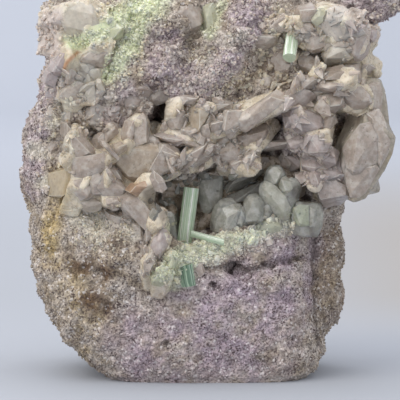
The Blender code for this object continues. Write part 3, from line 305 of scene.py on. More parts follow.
@dataclass(frozen=True)
class RockFinish:
    """Sugary lilac-grey rock with stain colours and a pale green crust, painted shade in its pores and
    crevices and a painted sparkle on some grain cells.
    """

    lilac: tuple = srgb(178, 162, 172)
    pale: tuple = srgb(192, 182, 172)
    beige: tuple = srgb(172, 158, 140)
    speck: tuple = srgb(78, 62, 62)
    mint: tuple = srgb(228, 236, 200)
    cream: tuple = srgb(222, 218, 200)
    yellow: tuple = srgb(190, 168, 118)
    brown: tuple = srgb(100, 76, 52)
    rust: tuple = srgb(176, 112, 60)
    # colour of the painted shade in pores and crevices
    dark: tuple = srgb(58, 44, 40)
    # near-white of the painted sparkle on a few grain cells
    painted_glint: tuple = srgb(236, 232, 230)
    grain: float = 0.62 * MM

    def make(self, name: str) -> bpy.types.Material:
        """Builds the material.

        Args:
            name: its name.

        Returns:
            The material.
        """
        look = Look(name)
        patches = look.clouds(9 * MM, 3, 0.6)
        fine = look.clouds(0.9 * MM, 3, 0.65)
        colour = look.mix(self.beige, self.pale, look.clouds(5 * MM, 3, 0.6).above(0.35, 0.6))
        colour = look.layered(colour, (
            (self.lilac, look.layer(Tint.LILAC) * patches.above(0.25, 0.6)),
            (self.mint, look.layer(Tint.MINT) * (0.6 + 0.4 * fine.above(0.4, 0.6))),
            (self.cream, look.layer(Tint.CREAM) * 0.85),
            (self.yellow, look.layer(Tint.YELLOW) * patches.above(0.3, 0.62)),
            (self.brown, look.layer(Tint.BROWN) * look.clouds(3 * MM, 3).above(0.32, 0.56)),
            (self.rust, look.layer(Tint.RUST))))
        tone = look.node("ShaderNodeSeparateColor", None, {"Color": look.grains(self.grain, "Color")}, "Red")
        mottle = look.clouds(2.2 * MM, 4, 0.7).above(0.32, 0.68)
        colour = look.scaled(colour, (0.87 + 0.34 * tone) * (0.75 + 0.42 * mottle))
        where = look.clouds(4 * MM, 2).above(0.3, 0.7)
        clean = 1 - 0.75 * look.layer(Tint.CREAM) - 0.6 * look.layer(Tint.MINT)
        specks = look.clouds(self.grain, 2, 0.6).above(0.5, 0.62) * (0.45 + 0.55 * where) * clean
        # painted shade: dark dots where pores would hold shade
        painted_hole_shade = look.clouds(1.7 * MM, 3, 0.7).above(0.58, 0.66) * where * clean
        # painted sparkle: a few grain cells turned near-white, which are also smoother
        glossy_painted_glints = tone.above(0.9, 0.96)
        # the specks are the rock's own dark grains; the other layers here are painted shade and painted
        # sparkle
        colour = look.layered(colour, ((self.speck, specks * 0.95), (self.dark, painted_hole_shade * 0.75),
                                       (self.painted_glint, glossy_painted_glints * 0.5), (self.dark, look.layer(Tint.PAINTED_SHADE))))
        height = look.grains(self.grain) * -1 + fine
        look.surface({"Base Color": colour, "Roughness": 0.6 + 0.3 * fine - 0.35 * glossy_painted_glints,
                      "Specular IOR Level": 0.4, "Normal": look.relief(height, 0.35 * MM, 0.7)})
        return look.material


@dataclass(frozen=True)
class CrystalFinish:
    """Milky or clear crystal: cloudy inside, with fine growth lines on its faces, a painted highlight on its
    narrow edge faces and painted shade in crevices.
    """

    body: tuple = srgb(222, 208, 184)
    cloudy: tuple = srgb(238, 228, 210)
    clearness: float = 0.22
    milk: float = 0.9
    roughness: float = 0.16
    absorbed: float = 12.0
    inner: tuple = srgb(228, 218, 198)
    # how strongly the painted highlight turns the narrow edge faces near-white
    rim: float = 0.3
    soft: float = 0.5 * MM
    speck: tuple = srgb(110, 92, 82)
    # near-white of the painted highlight
    edge: tuple = srgb(244, 240, 230)
    scatter: tuple = (1.0, 0.92, 0.84)
    # stain colours, and the colour of the painted shade
    stains_and_painted_shade: tuple = ((Tint.CREAM, srgb(250, 248, 232), 0.6), (Tint.MINT, srgb(236, 246, 208), 0.8),
                     (Tint.YELLOW, srgb(208, 188, 140), 0.7), (Tint.LILAC, srgb(204, 190, 198), 0.6),
                     (Tint.RUST, srgb(178, 118, 66), 0.9), (Tint.PAINTED_SHADE, srgb(104, 90, 80), 0.6),
                     (Tint.BROWN, srgb(142, 120, 100), 0.5))

    def make(self, name: str) -> bpy.types.Material:
        """Builds the material.

        Args:
            name: its name.

        Returns:
            The material.
        """
        look = Look(name)
        veil = look.clouds(2.4 * MM, 3, 0.6)
        colour = look.mix(self.body, self.cloudy, veil.above(0.4, 0.65))
        # tone is random lightness, and on outlined crystals also painted light: raised at the outline,
        # lowered at the front ridge
        colour = look.scaled(colour, 0.8 + 0.24 * look.stored("tone"))
        colour = look.layered(colour, tuple((shade, look.layer(tint) * strength)
                                            for tint, shade, strength in self.stains_and_painted_shade))
        fine = look.clouds(0.7 * MM, 2, 0.5)
        colour = look.scaled(colour, 0.9 + 0.2 * look.clouds(1.1 * MM, 3, 0.65).above(0.3, 0.7))
        specks = look.clouds(0.8 * MM, 2, 0.6).above(0.64, 0.7)
        # painted highlight on the narrow edge faces
        colour = look.layered(colour, ((self.speck, specks * 0.45),
                                       (self.edge, look.stored("rim") * self.rim)))
        look.surface({"Base Color": colour, "Roughness": self.roughness + 0.25 * veil, "IOR": 1.53,
                      "Transmission Weight": self.clearness, "Specular IOR Level": 0.5,
                      "Subsurface Weight": self.milk, "Subsurface Radius": self.scatter,
                      "Subsurface Scale": self.soft, "Normal": look.relief(fine + veil, 0.25 * MM, 0.35)})
        look.absorb(self.inner, self.absorbed)
        return look.material


CRYSTALS = {
    Gloss.MILKY: CrystalFinish(),
    Gloss.CLEAR: CrystalFinish(srgb(198, 188, 170), srgb(214, 205, 190), 0.5, 0.7, 0.1, 8.0),
    Gloss.DULL: CrystalFinish(srgb(160, 144, 124), srgb(180, 164, 144), 0.25, 0.4),
    Gloss.GLASSY: CrystalFinish(srgb(208, 194, 182), srgb(232, 222, 212), 0.44, 0.8, 0.07, 2.5,
                                rim=0.6, soft=0.45 * MM),
    Gloss.POCKET: CrystalFinish(srgb(208, 207, 196), srgb(236, 236, 228), 0.62, 0.8, 0.08, 3.0,
                                srgb(232, 234, 222), 0.5, 0.8 * MM),
}


@dataclass(frozen=True)
class PrismFinish:
    """Clear green prism with lines along it, the lightest of them a painted highlight; the axis along it is
    scaled least.
    """

    green: tuple = srgb(206, 222, 196)
    painted_highlight: tuple = srgb(246, 250, 240)
    deep: tuple = srgb(182, 208, 174)
    clearness: float = 0.22
    along: tuple = (8, 8, 0.6)
    inner: tuple = srgb(180, 210, 180)

    def make(self, name: str) -> bpy.types.Material:
        """Builds the material.

        Args:
            name: its name.

        Returns:
            The material.
        """
        look = Look(name)
        lines = look.clouds(2.2 * MM, 2, 0.6, self.along) * 0.45 + look.stored("tone") * 0.55
        colour = look.mix(self.deep, self.green, lines.above(0.3, 0.55))
        # painted highlight: the lightest lines turn near-white
        colour = look.mix(colour, self.painted_highlight, lines.above(0.54, 0.62))
        look.surface({"Base Color": colour, "Roughness": 0.12 + 0.2 * lines, "IOR": 1.62,
                      "Transmission Weight": self.clearness, "Normal": look.relief(lines, 0.2 * MM, 0.5)})
        look.absorb(self.inner, 15.0)
        return look.material


GREENS = {
    "green_prism": PrismFinish(),
    "green_prism_across": PrismFinish(clearness=0.25, along=(0.6, 8, 8)),
    "dark_green_prism": PrismFinish(srgb(128, 156, 130), srgb(176, 200, 172), srgb(84, 116, 92)),
}


@dataclass(frozen=True)
class Patch:
    """An area of the picture that has a stain or painted shade.

    Its path is discs (across, down, radius), joined as a chain or loose. Soft is the share of the radius
    over which it fades, behind is the y past which it ends, and ragged is how much noise moves its edge.
    """

    tint: Tint
    path: tuple
    soft: float = 0.5
    strength: float = 1.0
    behind: float = 0.004
    ragged: float = 0.35
    loose: bool = False


AROUND = 0.012
BEHIND_FADE = 12 * MM
RAGGED_SIZE = 5 * MM
REAR_START = -12 * MM
REAR_SPAN = 14 * MM
REAR = ((Tint.LILAC, 20 * MM, 1.3, 0.9), (Tint.YELLOW, 26 * MM, 8.4, 0.5), (Tint.BROWN, 16 * MM, 4.2, 0.55),
        (Tint.CREAM, 9 * MM, 6.6, 0.45))
PATCHES = (
    Patch(Tint.LILAC, ((150, 350, 70), (250, 340, 80), (290, 270, 60), (230, 300, 60), (190, 320, 60)), 1.0,
        1.0, AROUND),
    Patch(Tint.LILAC, ((50, 20, 20), (48, 90, 14), (32, 150, 16), (34, 190, 14)), 0.6, 0.7, AROUND),
    Patch(Tint.LILAC, ((165, 45, 26), (165, 75, 26), (200, 85, 22), (225, 60, 20), (245, 30, 24), (250, 10,
        24)), 0.5, 0.75),
    Patch(Tint.LILAC, ((370, 10, 40),), 0.4, 0.6, 0.03),
    Patch(Tint.LILAC, ((290, 110, 24), (300, 150, 26), (330, 175, 26)), 0.6, 0.5),
    Patch(Tint.LILAC, ((110, 110, 26), (128, 92, 20), (160, 245, 14), (180, 140, 12)), 0.6, 0.5,
        loose=True),
    Patch(Tint.MINT, ((155, 0, 22), (140, 10, 20), (118, 20, 18), (98, 35, 14), (72, 42, 10)), 0.7, 0.95),
    Patch(Tint.MINT, ((140, 20, 16), (132, 40, 15), (120, 58, 14), (108, 76, 12)), 0.7, 0.9),
    Patch(Tint.MINT, ((205, 20, 13), (210, 32, 10), (220, 5, 10)), 0.6, 0.6),
    Patch(Tint.MINT, ((160, 275, 13), (180, 262, 18), (200, 250, 14), (222, 244, 12), (246, 236, 10), (270,
        226, 9)), 0.6, 0.75),
    Patch(Tint.MINT, ((185, 278, 15), (175, 285, 10)), 0.7, 0.6),
    Patch(Tint.MINT, ((325, 12, 8), (302, 215, 12), (196, 101, 4), (174, 225, 10), (284, 214, 9)), 0.7, 0.5,
        loose=True),
    Patch(Tint.CREAM, ((190, 258, 12), (215, 250, 16), (240, 242, 16), (262, 234, 15), (288, 222, 13)), 0.7,
        0.95),
    Patch(Tint.CREAM, ((225, 40, 14), (242, 36, 10), (210, 60, 8), (108, 100, 12), (95, 118, 10)), 0.6, 0.5,
        loose=True),
    Patch(Tint.CREAM, ((82, 62, 20), (90, 85, 22), (70, 104, 16), (76, 20, 22), (335, 26, 22), (330, 60,
        22)), 0.7, 0.7, loose=True),
    Patch(Tint.CREAM, ((272, 192, 18), (288, 184, 9)), 0.7, 0.8, loose=True),
    Patch(Tint.CREAM, ((36, 150, 15), (42, 182, 14), (52, 122, 14), (70, 148, 10)), 0.7, 0.7, AROUND,
        loose=True),
    Patch(Tint.CREAM, ((95, 222, 24), (128, 232, 18), (76, 215, 14)), 0.7, 0.5, loose=True),
    Patch(Tint.RUST, ((138, 187, 9),), 0.8, 0.45),
    Patch(Tint.YELLOW, ((330, 240, 12), (329, 300, 13)), 0.6, 0.35, AROUND),
    Patch(Tint.YELLOW, ((62, 178, 14), (58, 205, 16), (50, 232, 16), (48, 255, 14)), 0.8, 0.85, 0.02),
    Patch(Tint.YELLOW, ((70, 290, 30), (90, 312, 26), (60, 270, 20)), 0.8, 0.55, 0.03),
    Patch(Tint.YELLOW, ((318, 290, 12), (142, 165, 10), (85, 355, 14)), 0.8, 0.4, 0.03, loose=True),
    Patch(Tint.YELLOW, ((385, 158, 12), (70, 58, 14), (120, 148, 12), (196, 120, 12), (136, 188, 10)), 0.8,
        0.45, loose=True),
    Patch(Tint.BROWN, ((80, 266, 22), (104, 275, 16), (92, 300, 22), (108, 308, 12)), 0.8, 0.9, loose=True),
    Patch(Tint.BROWN, ((120, 240, 16), (140, 245, 8), (200, 170, 9), (268, 62, 16), (280, 80, 14), (150, 85,
        14)), 0.7, 0.6, loose=True),
    # brown streaks on the slab at the right: partly its own colour, partly painted shade of that side
    Patch(Tint.BROWN, ((334, 240, 24), (334, 300, 30)), 0.4, 0.4, AROUND),
    Patch(Tint.BROWN, ((338, 132, 12), (352, 120, 12), (334, 70, 12), (255, 136, 10)), 0.6, 0.8,
        loose=True),
    Patch(Tint.RUST, ((64, 68, 4), (68, 62, 4), (78, 52, 3)), 0.9, 0.8),
    Patch(Tint.RUST, ((246, 64, 5),), 1.0, 0.3),
    # painted shade: the crevice under the overhang, the slab's edge and shaded side, and dark crevices and
    # gaps between crystals
    Patch(Tint.PAINTED_SHADE, ((206, 268, 3), (225, 266, 4), (248, 269, 4), (275, 262, 4), (302, 257, 3)), 0.9, 0.5,
        ragged=1.2),
    Patch(Tint.PAINTED_SHADE, ((313, 222, 4), (313, 290, 4), (316, 324, 4), (319, 345, 4)), 0.8, 0.5, ragged=0.8),
    Patch(Tint.PAINTED_SHADE, ((330, 235, 20), (330, 290, 20), (330, 325, 14)), 0.6, 0.05, AROUND),
    Patch(Tint.PAINTED_SHADE, ((148, 190, 8), (156, 200, 10), (163, 215, 7)), 0.5, 0.85),
    Patch(Tint.PAINTED_SHADE, ((163, 101, 9), (155, 120, 10), (150, 136, 7)), 0.5, 0.95),
    Patch(Tint.PAINTED_SHADE, ((276, 122, 8), (274, 136, 7)), 0.5, 0.85),
    Patch(Tint.PAINTED_SHADE, ((264, 156, 8), (278, 153, 6), (298, 192, 9), (306, 200, 8), (210, 228, 8), (200, 215,
        7)), 0.5, 0.9, loose=True),
    Patch(Tint.PAINTED_SHADE, ((236, 266, 6), (244, 274, 5), (230, 272, 5), (264, 263, 5), (290, 262, 4), (213, 284,
        4), (166, 343, 4), (66, 150, 7), (94, 136, 7), (145, 229, 3), (272, 266, 4)), 0.7, 0.85,
        loose=True),
    Patch(Tint.PAINTED_SHADE, ((238, 96, 7), (250, 92, 6), (314, 100, 6), (345, 122, 9), (352, 8, 7), (334, 148, 6),
        (324, 72, 5), (242, 188, 12), (200, 178, 8)), 0.7, 0.7, loose=True),
)
PITS = (
    (((206, 268, 4), (225, 267, 6), (240, 271, 7), (250, 272, 6), (275, 264, 5), (302, 258, 4)), 1.5 * MM),
    (((236, 264, 8), (243, 274, 7)), 2.0 * MM),
    (((84, 268, 7), (96, 274, 6), (108, 278, 5)), 1.1 * MM),
    (((166, 343, 5), (168, 348, 4)), 1.2 * MM),
    (((213, 285, 5), (216, 290, 4)), 1.6 * MM),
    (((250, 320, 5), (256, 324, 4)), 0.9 * MM),
    (((120, 320, 5), (126, 326, 4)), 0.9 * MM),
    (((286, 296, 5), (290, 304, 4)), 1.0 * MM),
)


def closeness(seen: np.ndarray, discs: np.ndarray, loose: bool = False) -> np.ndarray:
    """Gives how far inside some discs of the picture points are.

    Args:
        seen: the points' places in the picture.
        discs: across, down and radius, one disc a row.
        loose: whether the discs stand alone and aren't joined as a chain.

    Returns:
        1 in the middle, 0 at the edge and less outside.
    """
    best = np.full(len(seen), -1.0)
    ends = discs if loose or len(discs) == 1 else discs[1:]
    for start, end in zip(discs, ends):
        line = end[:2] - start[:2]
        along = np.clip(((seen - start[:2]) @ line) / max(line @ line, TINY), 0, 1)
        near = np.linalg.norm(seen - start[:2] - along[:, None] * line, axis=1)
        best = np.maximum(best, 1 - near / (start[2] + (end[2] - start[2]) * along))
    return best


def layers_at(points: np.ndarray) -> dict[Tint, np.ndarray]:
    """Works out how strong each stain and the painted shade are at some points.

    Args:
        points: places, one row each.

    Returns:
        For each tint, a strength from 0 to 1 a point.
    """
    seen = VIEW.seen(points)
    drift = np.array([noise.noise_vector(Vector(p) / RAGGED_SIZE) for p in points])
    found = {tint: np.zeros(len(points)) for tint in Tint}
    for patch in PATCHES:
        discs = np.array(patch.path, dtype=float)
        moved = seen + drift[:, :2] * discs[:, 2].mean() * patch.ragged
        weight = eased(ramp(closeness(moved, discs, patch.loose), 0, patch.soft))
        fade = ramp(patch.behind - points[:, 1], 0, BEHIND_FADE)
        found[patch.tint] = np.maximum(found[patch.tint], weight * patch.strength * fade)
    rear = ramp(points[:, 1], REAR_START, REAR_SPAN)
    for tint, size, start, strength in REAR:
        shift = Vector((start, 3.1, 7.7))
        cloud = np.array([noise.fractal(Vector(p) / size + shift, 1.0, 2.0, 3) for p in points])
        found[tint] = np.maximum(found[tint], ramp(cloud, 0.02, 0.3) * strength * rear)
    return found


def paint(mesh: bpy.types.Mesh, layers: dict[Tint, np.ndarray], tone: np.ndarray | None = None) -> None:
    """Stores the stain colours and the painted shade on a mesh, and how light it is.

    Args:
        mesh: the mesh.
        layers: strengths, one a vertex.
        tone: a light or dark value for each vertex.
    """
    values = {tint.value: strengths for tint, strengths in layers.items()}
    if tone is not None:
        values["tone"] = tone
    for name, found in values.items():
        mesh.attributes.new(name, "FLOAT", "POINT").data.foreach_set("value", found.astype(np.float32))


def mark_highlit_edges(mesh: bpy.types.Mesh, corners: np.ndarray, faces: np.ndarray,
               narrow: float = 0.24 * MM) -> None:
    """Marks the narrow faces along a crystal's edges, which get a painted highlight.

    Args:
        mesh: the crystals' mesh.
        corners: its vertices.
        faces: its triangles.
        narrow: the widest face that counts as an edge.
    """
    a, b, c = (corners[faces[:, i]] for i in range(3))
    longest = np.max([np.linalg.norm(side, axis=1) for side in (b - a, c - b, a - c)], axis=0)
    high = np.linalg.norm(np.cross(b - a, c - a), axis=1) / np.maximum(longest, TINY)
    found = (high < narrow) & (longest > 3 * narrow)
    mesh.attributes.new("rim", "FLOAT", "FACE").data.foreach_set("value", found.astype(np.float32))


def vertices_of(mesh: bpy.types.Mesh, what: str = "co") -> np.ndarray:
    """Gives the places of a mesh's vertices, or their normals, one row each."""
    flat = np.empty(len(mesh.vertices) * 3)
    mesh.vertices.foreach_get(what, flat)
    return flat.reshape(-1, 3)


def place_vertices(mesh: bpy.types.Mesh, places: np.ndarray) -> None:
    """Moves a mesh's vertices."""
    mesh.vertices.foreach_set("co", places.ravel())
    mesh.update()


def mesh_of(name: str, corners: np.ndarray, faces: np.ndarray) -> bpy.types.Mesh:
    """Makes a mesh of flat triangles.

    Args:
        name: the mesh's name.
        corners: its vertices.
        faces: the three vertices of each triangle.

    Returns:
        The mesh.
    """
    mesh = bpy.data.meshes.new(name)
    mesh.vertices.add(len(corners))
    mesh.vertices.foreach_set("co", corners.ravel())
    mesh.loops.add(faces.size)
    mesh.loops.foreach_set("vertex_index", faces.astype(np.int32).ravel())
    mesh.polygons.add(len(faces))
    mesh.polygons.foreach_set("loop_start", np.arange(0, faces.size, 3, dtype=np.int32))
    mesh.update(calc_edges=True)
    mesh.validate()
    mesh.shade_flat()
    return mesh


def arrays_of(bm: bmesh.types.BMesh) -> tuple[np.ndarray, np.ndarray]:
    """Gives a closed body's vertices and its triangles, which face outwards, and frees it."""
    bmesh.ops.triangulate(bm, faces=bm.faces[:])
    bmesh.ops.recalc_face_normals(bm, faces=bm.faces[:])
    bm.verts.index_update()
    points = np.array([v.co[:] for v in bm.verts])
    faces = np.array([[v.index for v in f.verts] for f in bm.faces])
    bm.free()
    return points, faces


def bevelled(bm: bmesh.types.BMesh, edges: list, offset: float) -> None:
    """Breaks edges with one narrow face each."""
    bmesh.ops.bevel(bm, geom=edges, affect="EDGES", offset=offset, segments=1, profile=0.5, material=-1,
                    clamp_overlap=True)


def show(mesh: bpy.types.Mesh, name: str, material: bpy.types.Material) -> bpy.types.Object:
    """Puts a mesh into the scene as a piece of the specimen.

    Args:
        mesh: the mesh.
        name: the piece's name.
        material: its finish.

    Returns:
        The object.
    """
    piece = bpy.data.objects.new(name, mesh)
    bpy.context.collection.objects.link(piece)
    mesh.materials.clear()
    mesh.materials.append(material)
    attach(piece, "root")
    log.info("%s: %d faces", name, len(mesh.polygons))
    return piece


@dataclass
class Limits:
    """The box of the solid part, which nothing may pass."""

    low: Vector
    high: Vector
    inset: float = 0.02 * MM

    def keep(self, places: np.ndarray) -> np.ndarray:
        """Moves places that lie past the box back to it."""
        low = np.array(self.low) + self.inset
        high = np.array(self.high) - self.inset
        low[2] = self.low.z
        return np.clip(places, low, high)


def merged_copy(node: str) -> bmesh.types.BMesh:
    """Copies a solid's mesh with its loose triangles joined."""
    bm = bmesh.new()
    bm.from_mesh(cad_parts[node].data)
    bmesh.ops.remove_doubles(bm, verts=bm.verts[:], dist=2e-6)
    return bm


def remeshed(bm: bmesh.types.BMesh, name: str, voxel: float) -> bpy.types.Mesh:
    """Covers a solid with small even faces.

    Args:
        bm: the solid, which is freed.
        name: the new mesh's name.
        voxel: the size of a face in metres.

    Returns:
        The new mesh.
    """
    rough = bpy.data.meshes.new(name + "_rough")
    bm.to_mesh(rough)
    bm.free()
    holder = bpy.data.objects.new(name + "_rough", rough)
    bpy.context.collection.objects.link(holder)
    even = holder.modifiers.new("even", "REMESH")
    even.mode = "VOXEL"
    even.voxel_size = voxel
    depsgraph = bpy.context.evaluated_depsgraph_get()
    mesh = bpy.data.meshes.new_from_object(holder.evaluated_get(depsgraph))
    mesh.name = name
    bpy.data.objects.remove(holder)
    bpy.data.meshes.remove(rough)
    return mesh


@dataclass(frozen=True)
class Rock:
    """The granular rock: the solid's form with lumps, grain, pits, broad hollows at the rear and painted
    shade in pores.

    Its lower front is calmer: the places where that begins and ends are down in the picture.
    """

    node: str = "matrix_rock"
    voxel: float = 0.85 * MM
    lump_size: float = 5.5 * MM
    lump_depth: float = 1.5 * MM
    knob_size: float = 2.6 * MM
    knob_depth: float = 1.7 * MM
    grain_size: float = 1.25 * MM
    grain_depth: float = 0.6 * MM
    foot: float = 0.6 * MM
    foot_rise: float = 3 * MM
    boss_size: float = 17 * MM
    boss_depth: float = 4.5 * MM
    rear_start: float = -4 * MM
    rear_span: float = 12 * MM
    calm_down: float = 225.0
    calm_span: float = 40.0
    calm_end: float = 60.0
    calm_reach: float = 200.0
    calmed: tuple = (0.2, 0.3, 0.0)
    wander_size: float = 3 * MM
    wander: float = 3.0
    pit_edge: float = 0.6
    pore_start: float = 0.75 * MM
    pore_span: float = 0.5 * MM
    painted_pore_shade: float = 0.45
    crust_cover: float = 0.8

    def build(self, limits: Limits) -> bpy.types.Mesh:
        """Builds the mesh.

        Args:
            limits: the box to stay in.

        Returns:
            The mesh, painted.
        """
        mesh = remeshed(merged_copy(self.node), "rock", self.voxel)
        places = vertices_of(mesh)
        seen = VIEW.seen(places)
        down = seen[:, 1]
        calm = ramp(down, self.calm_down, self.calm_span) * ramp(down, self.calm_end, self.calm_reach)
        depth = np.array([self.relief(Vector(p)) for p in places]) * (1 - np.outer(calm, self.calmed))
        waves = np.array([noise.fractal(Vector(p) / self.boss_size, 1.0, 2.0, 2) for p in places])
        rear = ramp(places[:, 1], self.rear_start, self.rear_span)
        total = depth.sum(axis=1) - np.abs(waves) * self.boss_depth * rear
        wander = np.array([noise.noise_vector(Vector(p) / self.wander_size)[:2] for p in places])
        wandered = seen + wander * self.wander
        for discs, deep in PITS:
            inside = eased(ramp(closeness(wandered, np.array(discs, dtype=float)), 0, self.pit_edge))
            total -= inside * deep * (places[:, 1] < 0)
        foot = ramp(places[:, 2], self.foot, self.foot_rise)
        places = places + vertices_of(mesh, "normal") * (total * foot)[:, None]
        places[:, 2] = np.where(places[:, 2] < self.foot, 0, places[:, 2])
        places = limits.keep(places)
        place_vertices(mesh, places)
        layers = layers_at(places)
        # painted shade: the low places between knobs and grains are darkened, less so under the pale crust
        pores = ramp(-depth[:, 1] - depth[:, 2], self.pore_start, self.pore_span)
        crust = np.maximum(layers[Tint.MINT], layers[Tint.CREAM])
        shade = pores * self.painted_pore_shade * (1 - self.crust_cover * crust)
        layers[Tint.PAINTED_SHADE] = np.maximum(layers[Tint.PAINTED_SHADE], shade)
        paint(mesh, layers)
        return mesh

    def relief(self, place: Vector) -> tuple[float, float, float]:
        """Gives how far lumps, knobs and grains move the surface at a place."""
        lumps = noise.noise(place / self.lump_size) * self.lump_depth
        knobs = (0.45 - noise.voronoi(place / self.knob_size)[0][0]) * self.knob_depth
        grains = (0.45 - noise.voronoi(place / self.grain_size)[0][0]) * self.grain_depth
        return lumps, knobs, grains


@dataclass(frozen=True)
class Mass:
    """Crystals grown together: the solid's form, its gaps closed, made even, with low facets on it."""

    node: str
    gap: float = 0.0
    facet_depth: float = 0.9 * MM
    gloss: Gloss = Gloss.MILKY
    facet_size: float = 4.0 * MM
    voxel: float = 0.38 * MM
    swell: float = 0.7 * MM
    tone_size: float = 6 * MM

    def build(self, limits: Limits) -> bpy.types.Mesh:
        """Builds the mesh.

        Args:
            limits: the box to stay in.

        Returns:
            The mesh, painted.
        """
        mesh = remeshed(merged_copy(self.node), self.node, self.voxel)
        if self.gap:
            place_vertices(mesh, vertices_of(mesh) + vertices_of(mesh, "normal") * self.gap)
            filled = bmesh.new()
            filled.from_mesh(mesh)
            bpy.data.meshes.remove(mesh)
            mesh = remeshed(filled, self.node, self.voxel)
        places = vertices_of(mesh)
        push = np.array([self.facet(Vector(p)) for p in places]) + self.swell - self.gap
        places = limits.keep(places + vertices_of(mesh, "normal") * push[:, None])
        place_vertices(mesh, places)
        tone = np.array([noise.noise(Vector(p) / self.tone_size) * 0.5 + 0.5 for p in places])
        paint(mesh, layers_at(places), tone)
        return mesh

    def facet(self, place: Vector) -> float:
        """Gives how far the nearest facet moves the surface at a place."""
        spread, points = noise.voronoi(place / self.facet_size)
        tilt = Vector(noise.noise_vector(points[0] * 7.3))
        return (tilt.dot(place / self.facet_size - points[0]) - 0.25 * spread[0]) * self.facet_depth


@dataclass(frozen=True)
class Cutting:
    """How a habit is cut: its sides, how slim its end and how flat it is, and the planes that end it."""

    sides: int
    slim: float
    flat: float
    planes: int
    steep: tuple
    bevel: float


CUTTINGS = {
    Habit.PRISM: Cutting(6, 0.86, 1.0, 4, (38, 62), 0.035),
    Habit.BLADE: Cutting(6, 0.8, 0.45, 3, (30, 60), 0.03),
    Habit.BLOCK: Cutting(5, 0.95, 0.9, 4, (20, 50), 0.045),
    Habit.POINT: Cutting(6, 0.45, 0.95, 5, (58, 72), 0.03),
    Habit.DOME: Cutting(8, 0.9, 0.9, 7, (25, 70), 0.05),
    Habit.CHIP: Cutting(5, 0.75, 0.8, 2, (25, 55), 0.0),
}


class Templates:
    """Crystals of length 1 and width 1 along Z, a few of each habit, to be placed many times."""

    KINDS = 5
    BLANK = 1.3
    STRAY = 0.35
    TOPS = (0.88, 1.0)
    SIDE_OUT = 0.43
    SIDE_TILT = (-0.1, 0.12)
    BEVELLED_FROM = 0.45

    def __init__(self, seed: int = 7) -> None:
        """Makes the crystals from random numbers that start with the seed."""
        self.chance = np.random.default_rng(seed)
        self.made = {(habit, plain): [self.crystal(CUTTINGS[habit], plain) for _ in range(self.KINDS)]
                     for habit in Habit for plain in (False, True)}

    def crystal(self, cutting: Cutting, plain: bool) -> tuple[np.ndarray, np.ndarray]:
        """Cuts one crystal from a longer blank.

        Args:
            cutting: how it is cut.
            plain: whether its edges are left sharp, as on the smallest.

        Returns:
            Its vertices and triangles.
        """
        bm = bmesh.new()
        bmesh.ops.create_cone(bm, cap_ends=True, segments=cutting.sides, radius1=0.5,
                              radius2=0.5 * cutting.slim, depth=self.BLANK)
        bmesh.ops.translate(bm, verts=bm.verts[:], vec=(0, 0, self.BLANK / 2))
        bmesh.ops.scale(bm, verts=bm.verts[:], vec=(1, cutting.flat, 1))
        turn = self.chance.uniform(0, math.tau)
        for number in range(cutting.planes):
            angle = turn + math.tau * number / cutting.planes + self.chance.uniform(-self.STRAY, self.STRAY)
            lean = math.radians(self.chance.uniform(*cutting.steep))
            across = math.sin(lean)
            normal = Vector((math.cos(angle) * across, math.sin(angle) * across, math.cos(lean)))
            self.cut(bm, Vector((0, 0, self.chance.uniform(*self.TOPS))), normal)
        side = Vector((1, 0, 0))
        side.rotate(Matrix.Rotation(turn, 3, "Z"))
        self.cut(bm, side * self.SIDE_OUT, side + Vector((0, 0, self.chance.uniform(*self.SIDE_TILT))))
        if cutting.bevel and not plain:
            upper = [e for e in bm.edges if sum(v.co.z for v in e.verts) > 2 * self.BEVELLED_FROM]
            bevelled(bm, upper, cutting.bevel)
        return arrays_of(bm)

    @staticmethod
    def cut(bm: bmesh.types.BMesh, point: Vector, normal: Vector) -> None:
        """Cuts away what lies past a plane and closes the face."""
        found = bmesh.ops.bisect_plane(bm, geom=bm.verts[:] + bm.edges[:] + bm.faces[:], dist=1e-5,
                                       plane_co=point, plane_no=normal, clear_outer=True)
        edges = [g for g in found["geom_cut"] if isinstance(g, bmesh.types.BMEdge)]
        if edges:
            bmesh.ops.edgeloop_fill(bm, edges=edges)


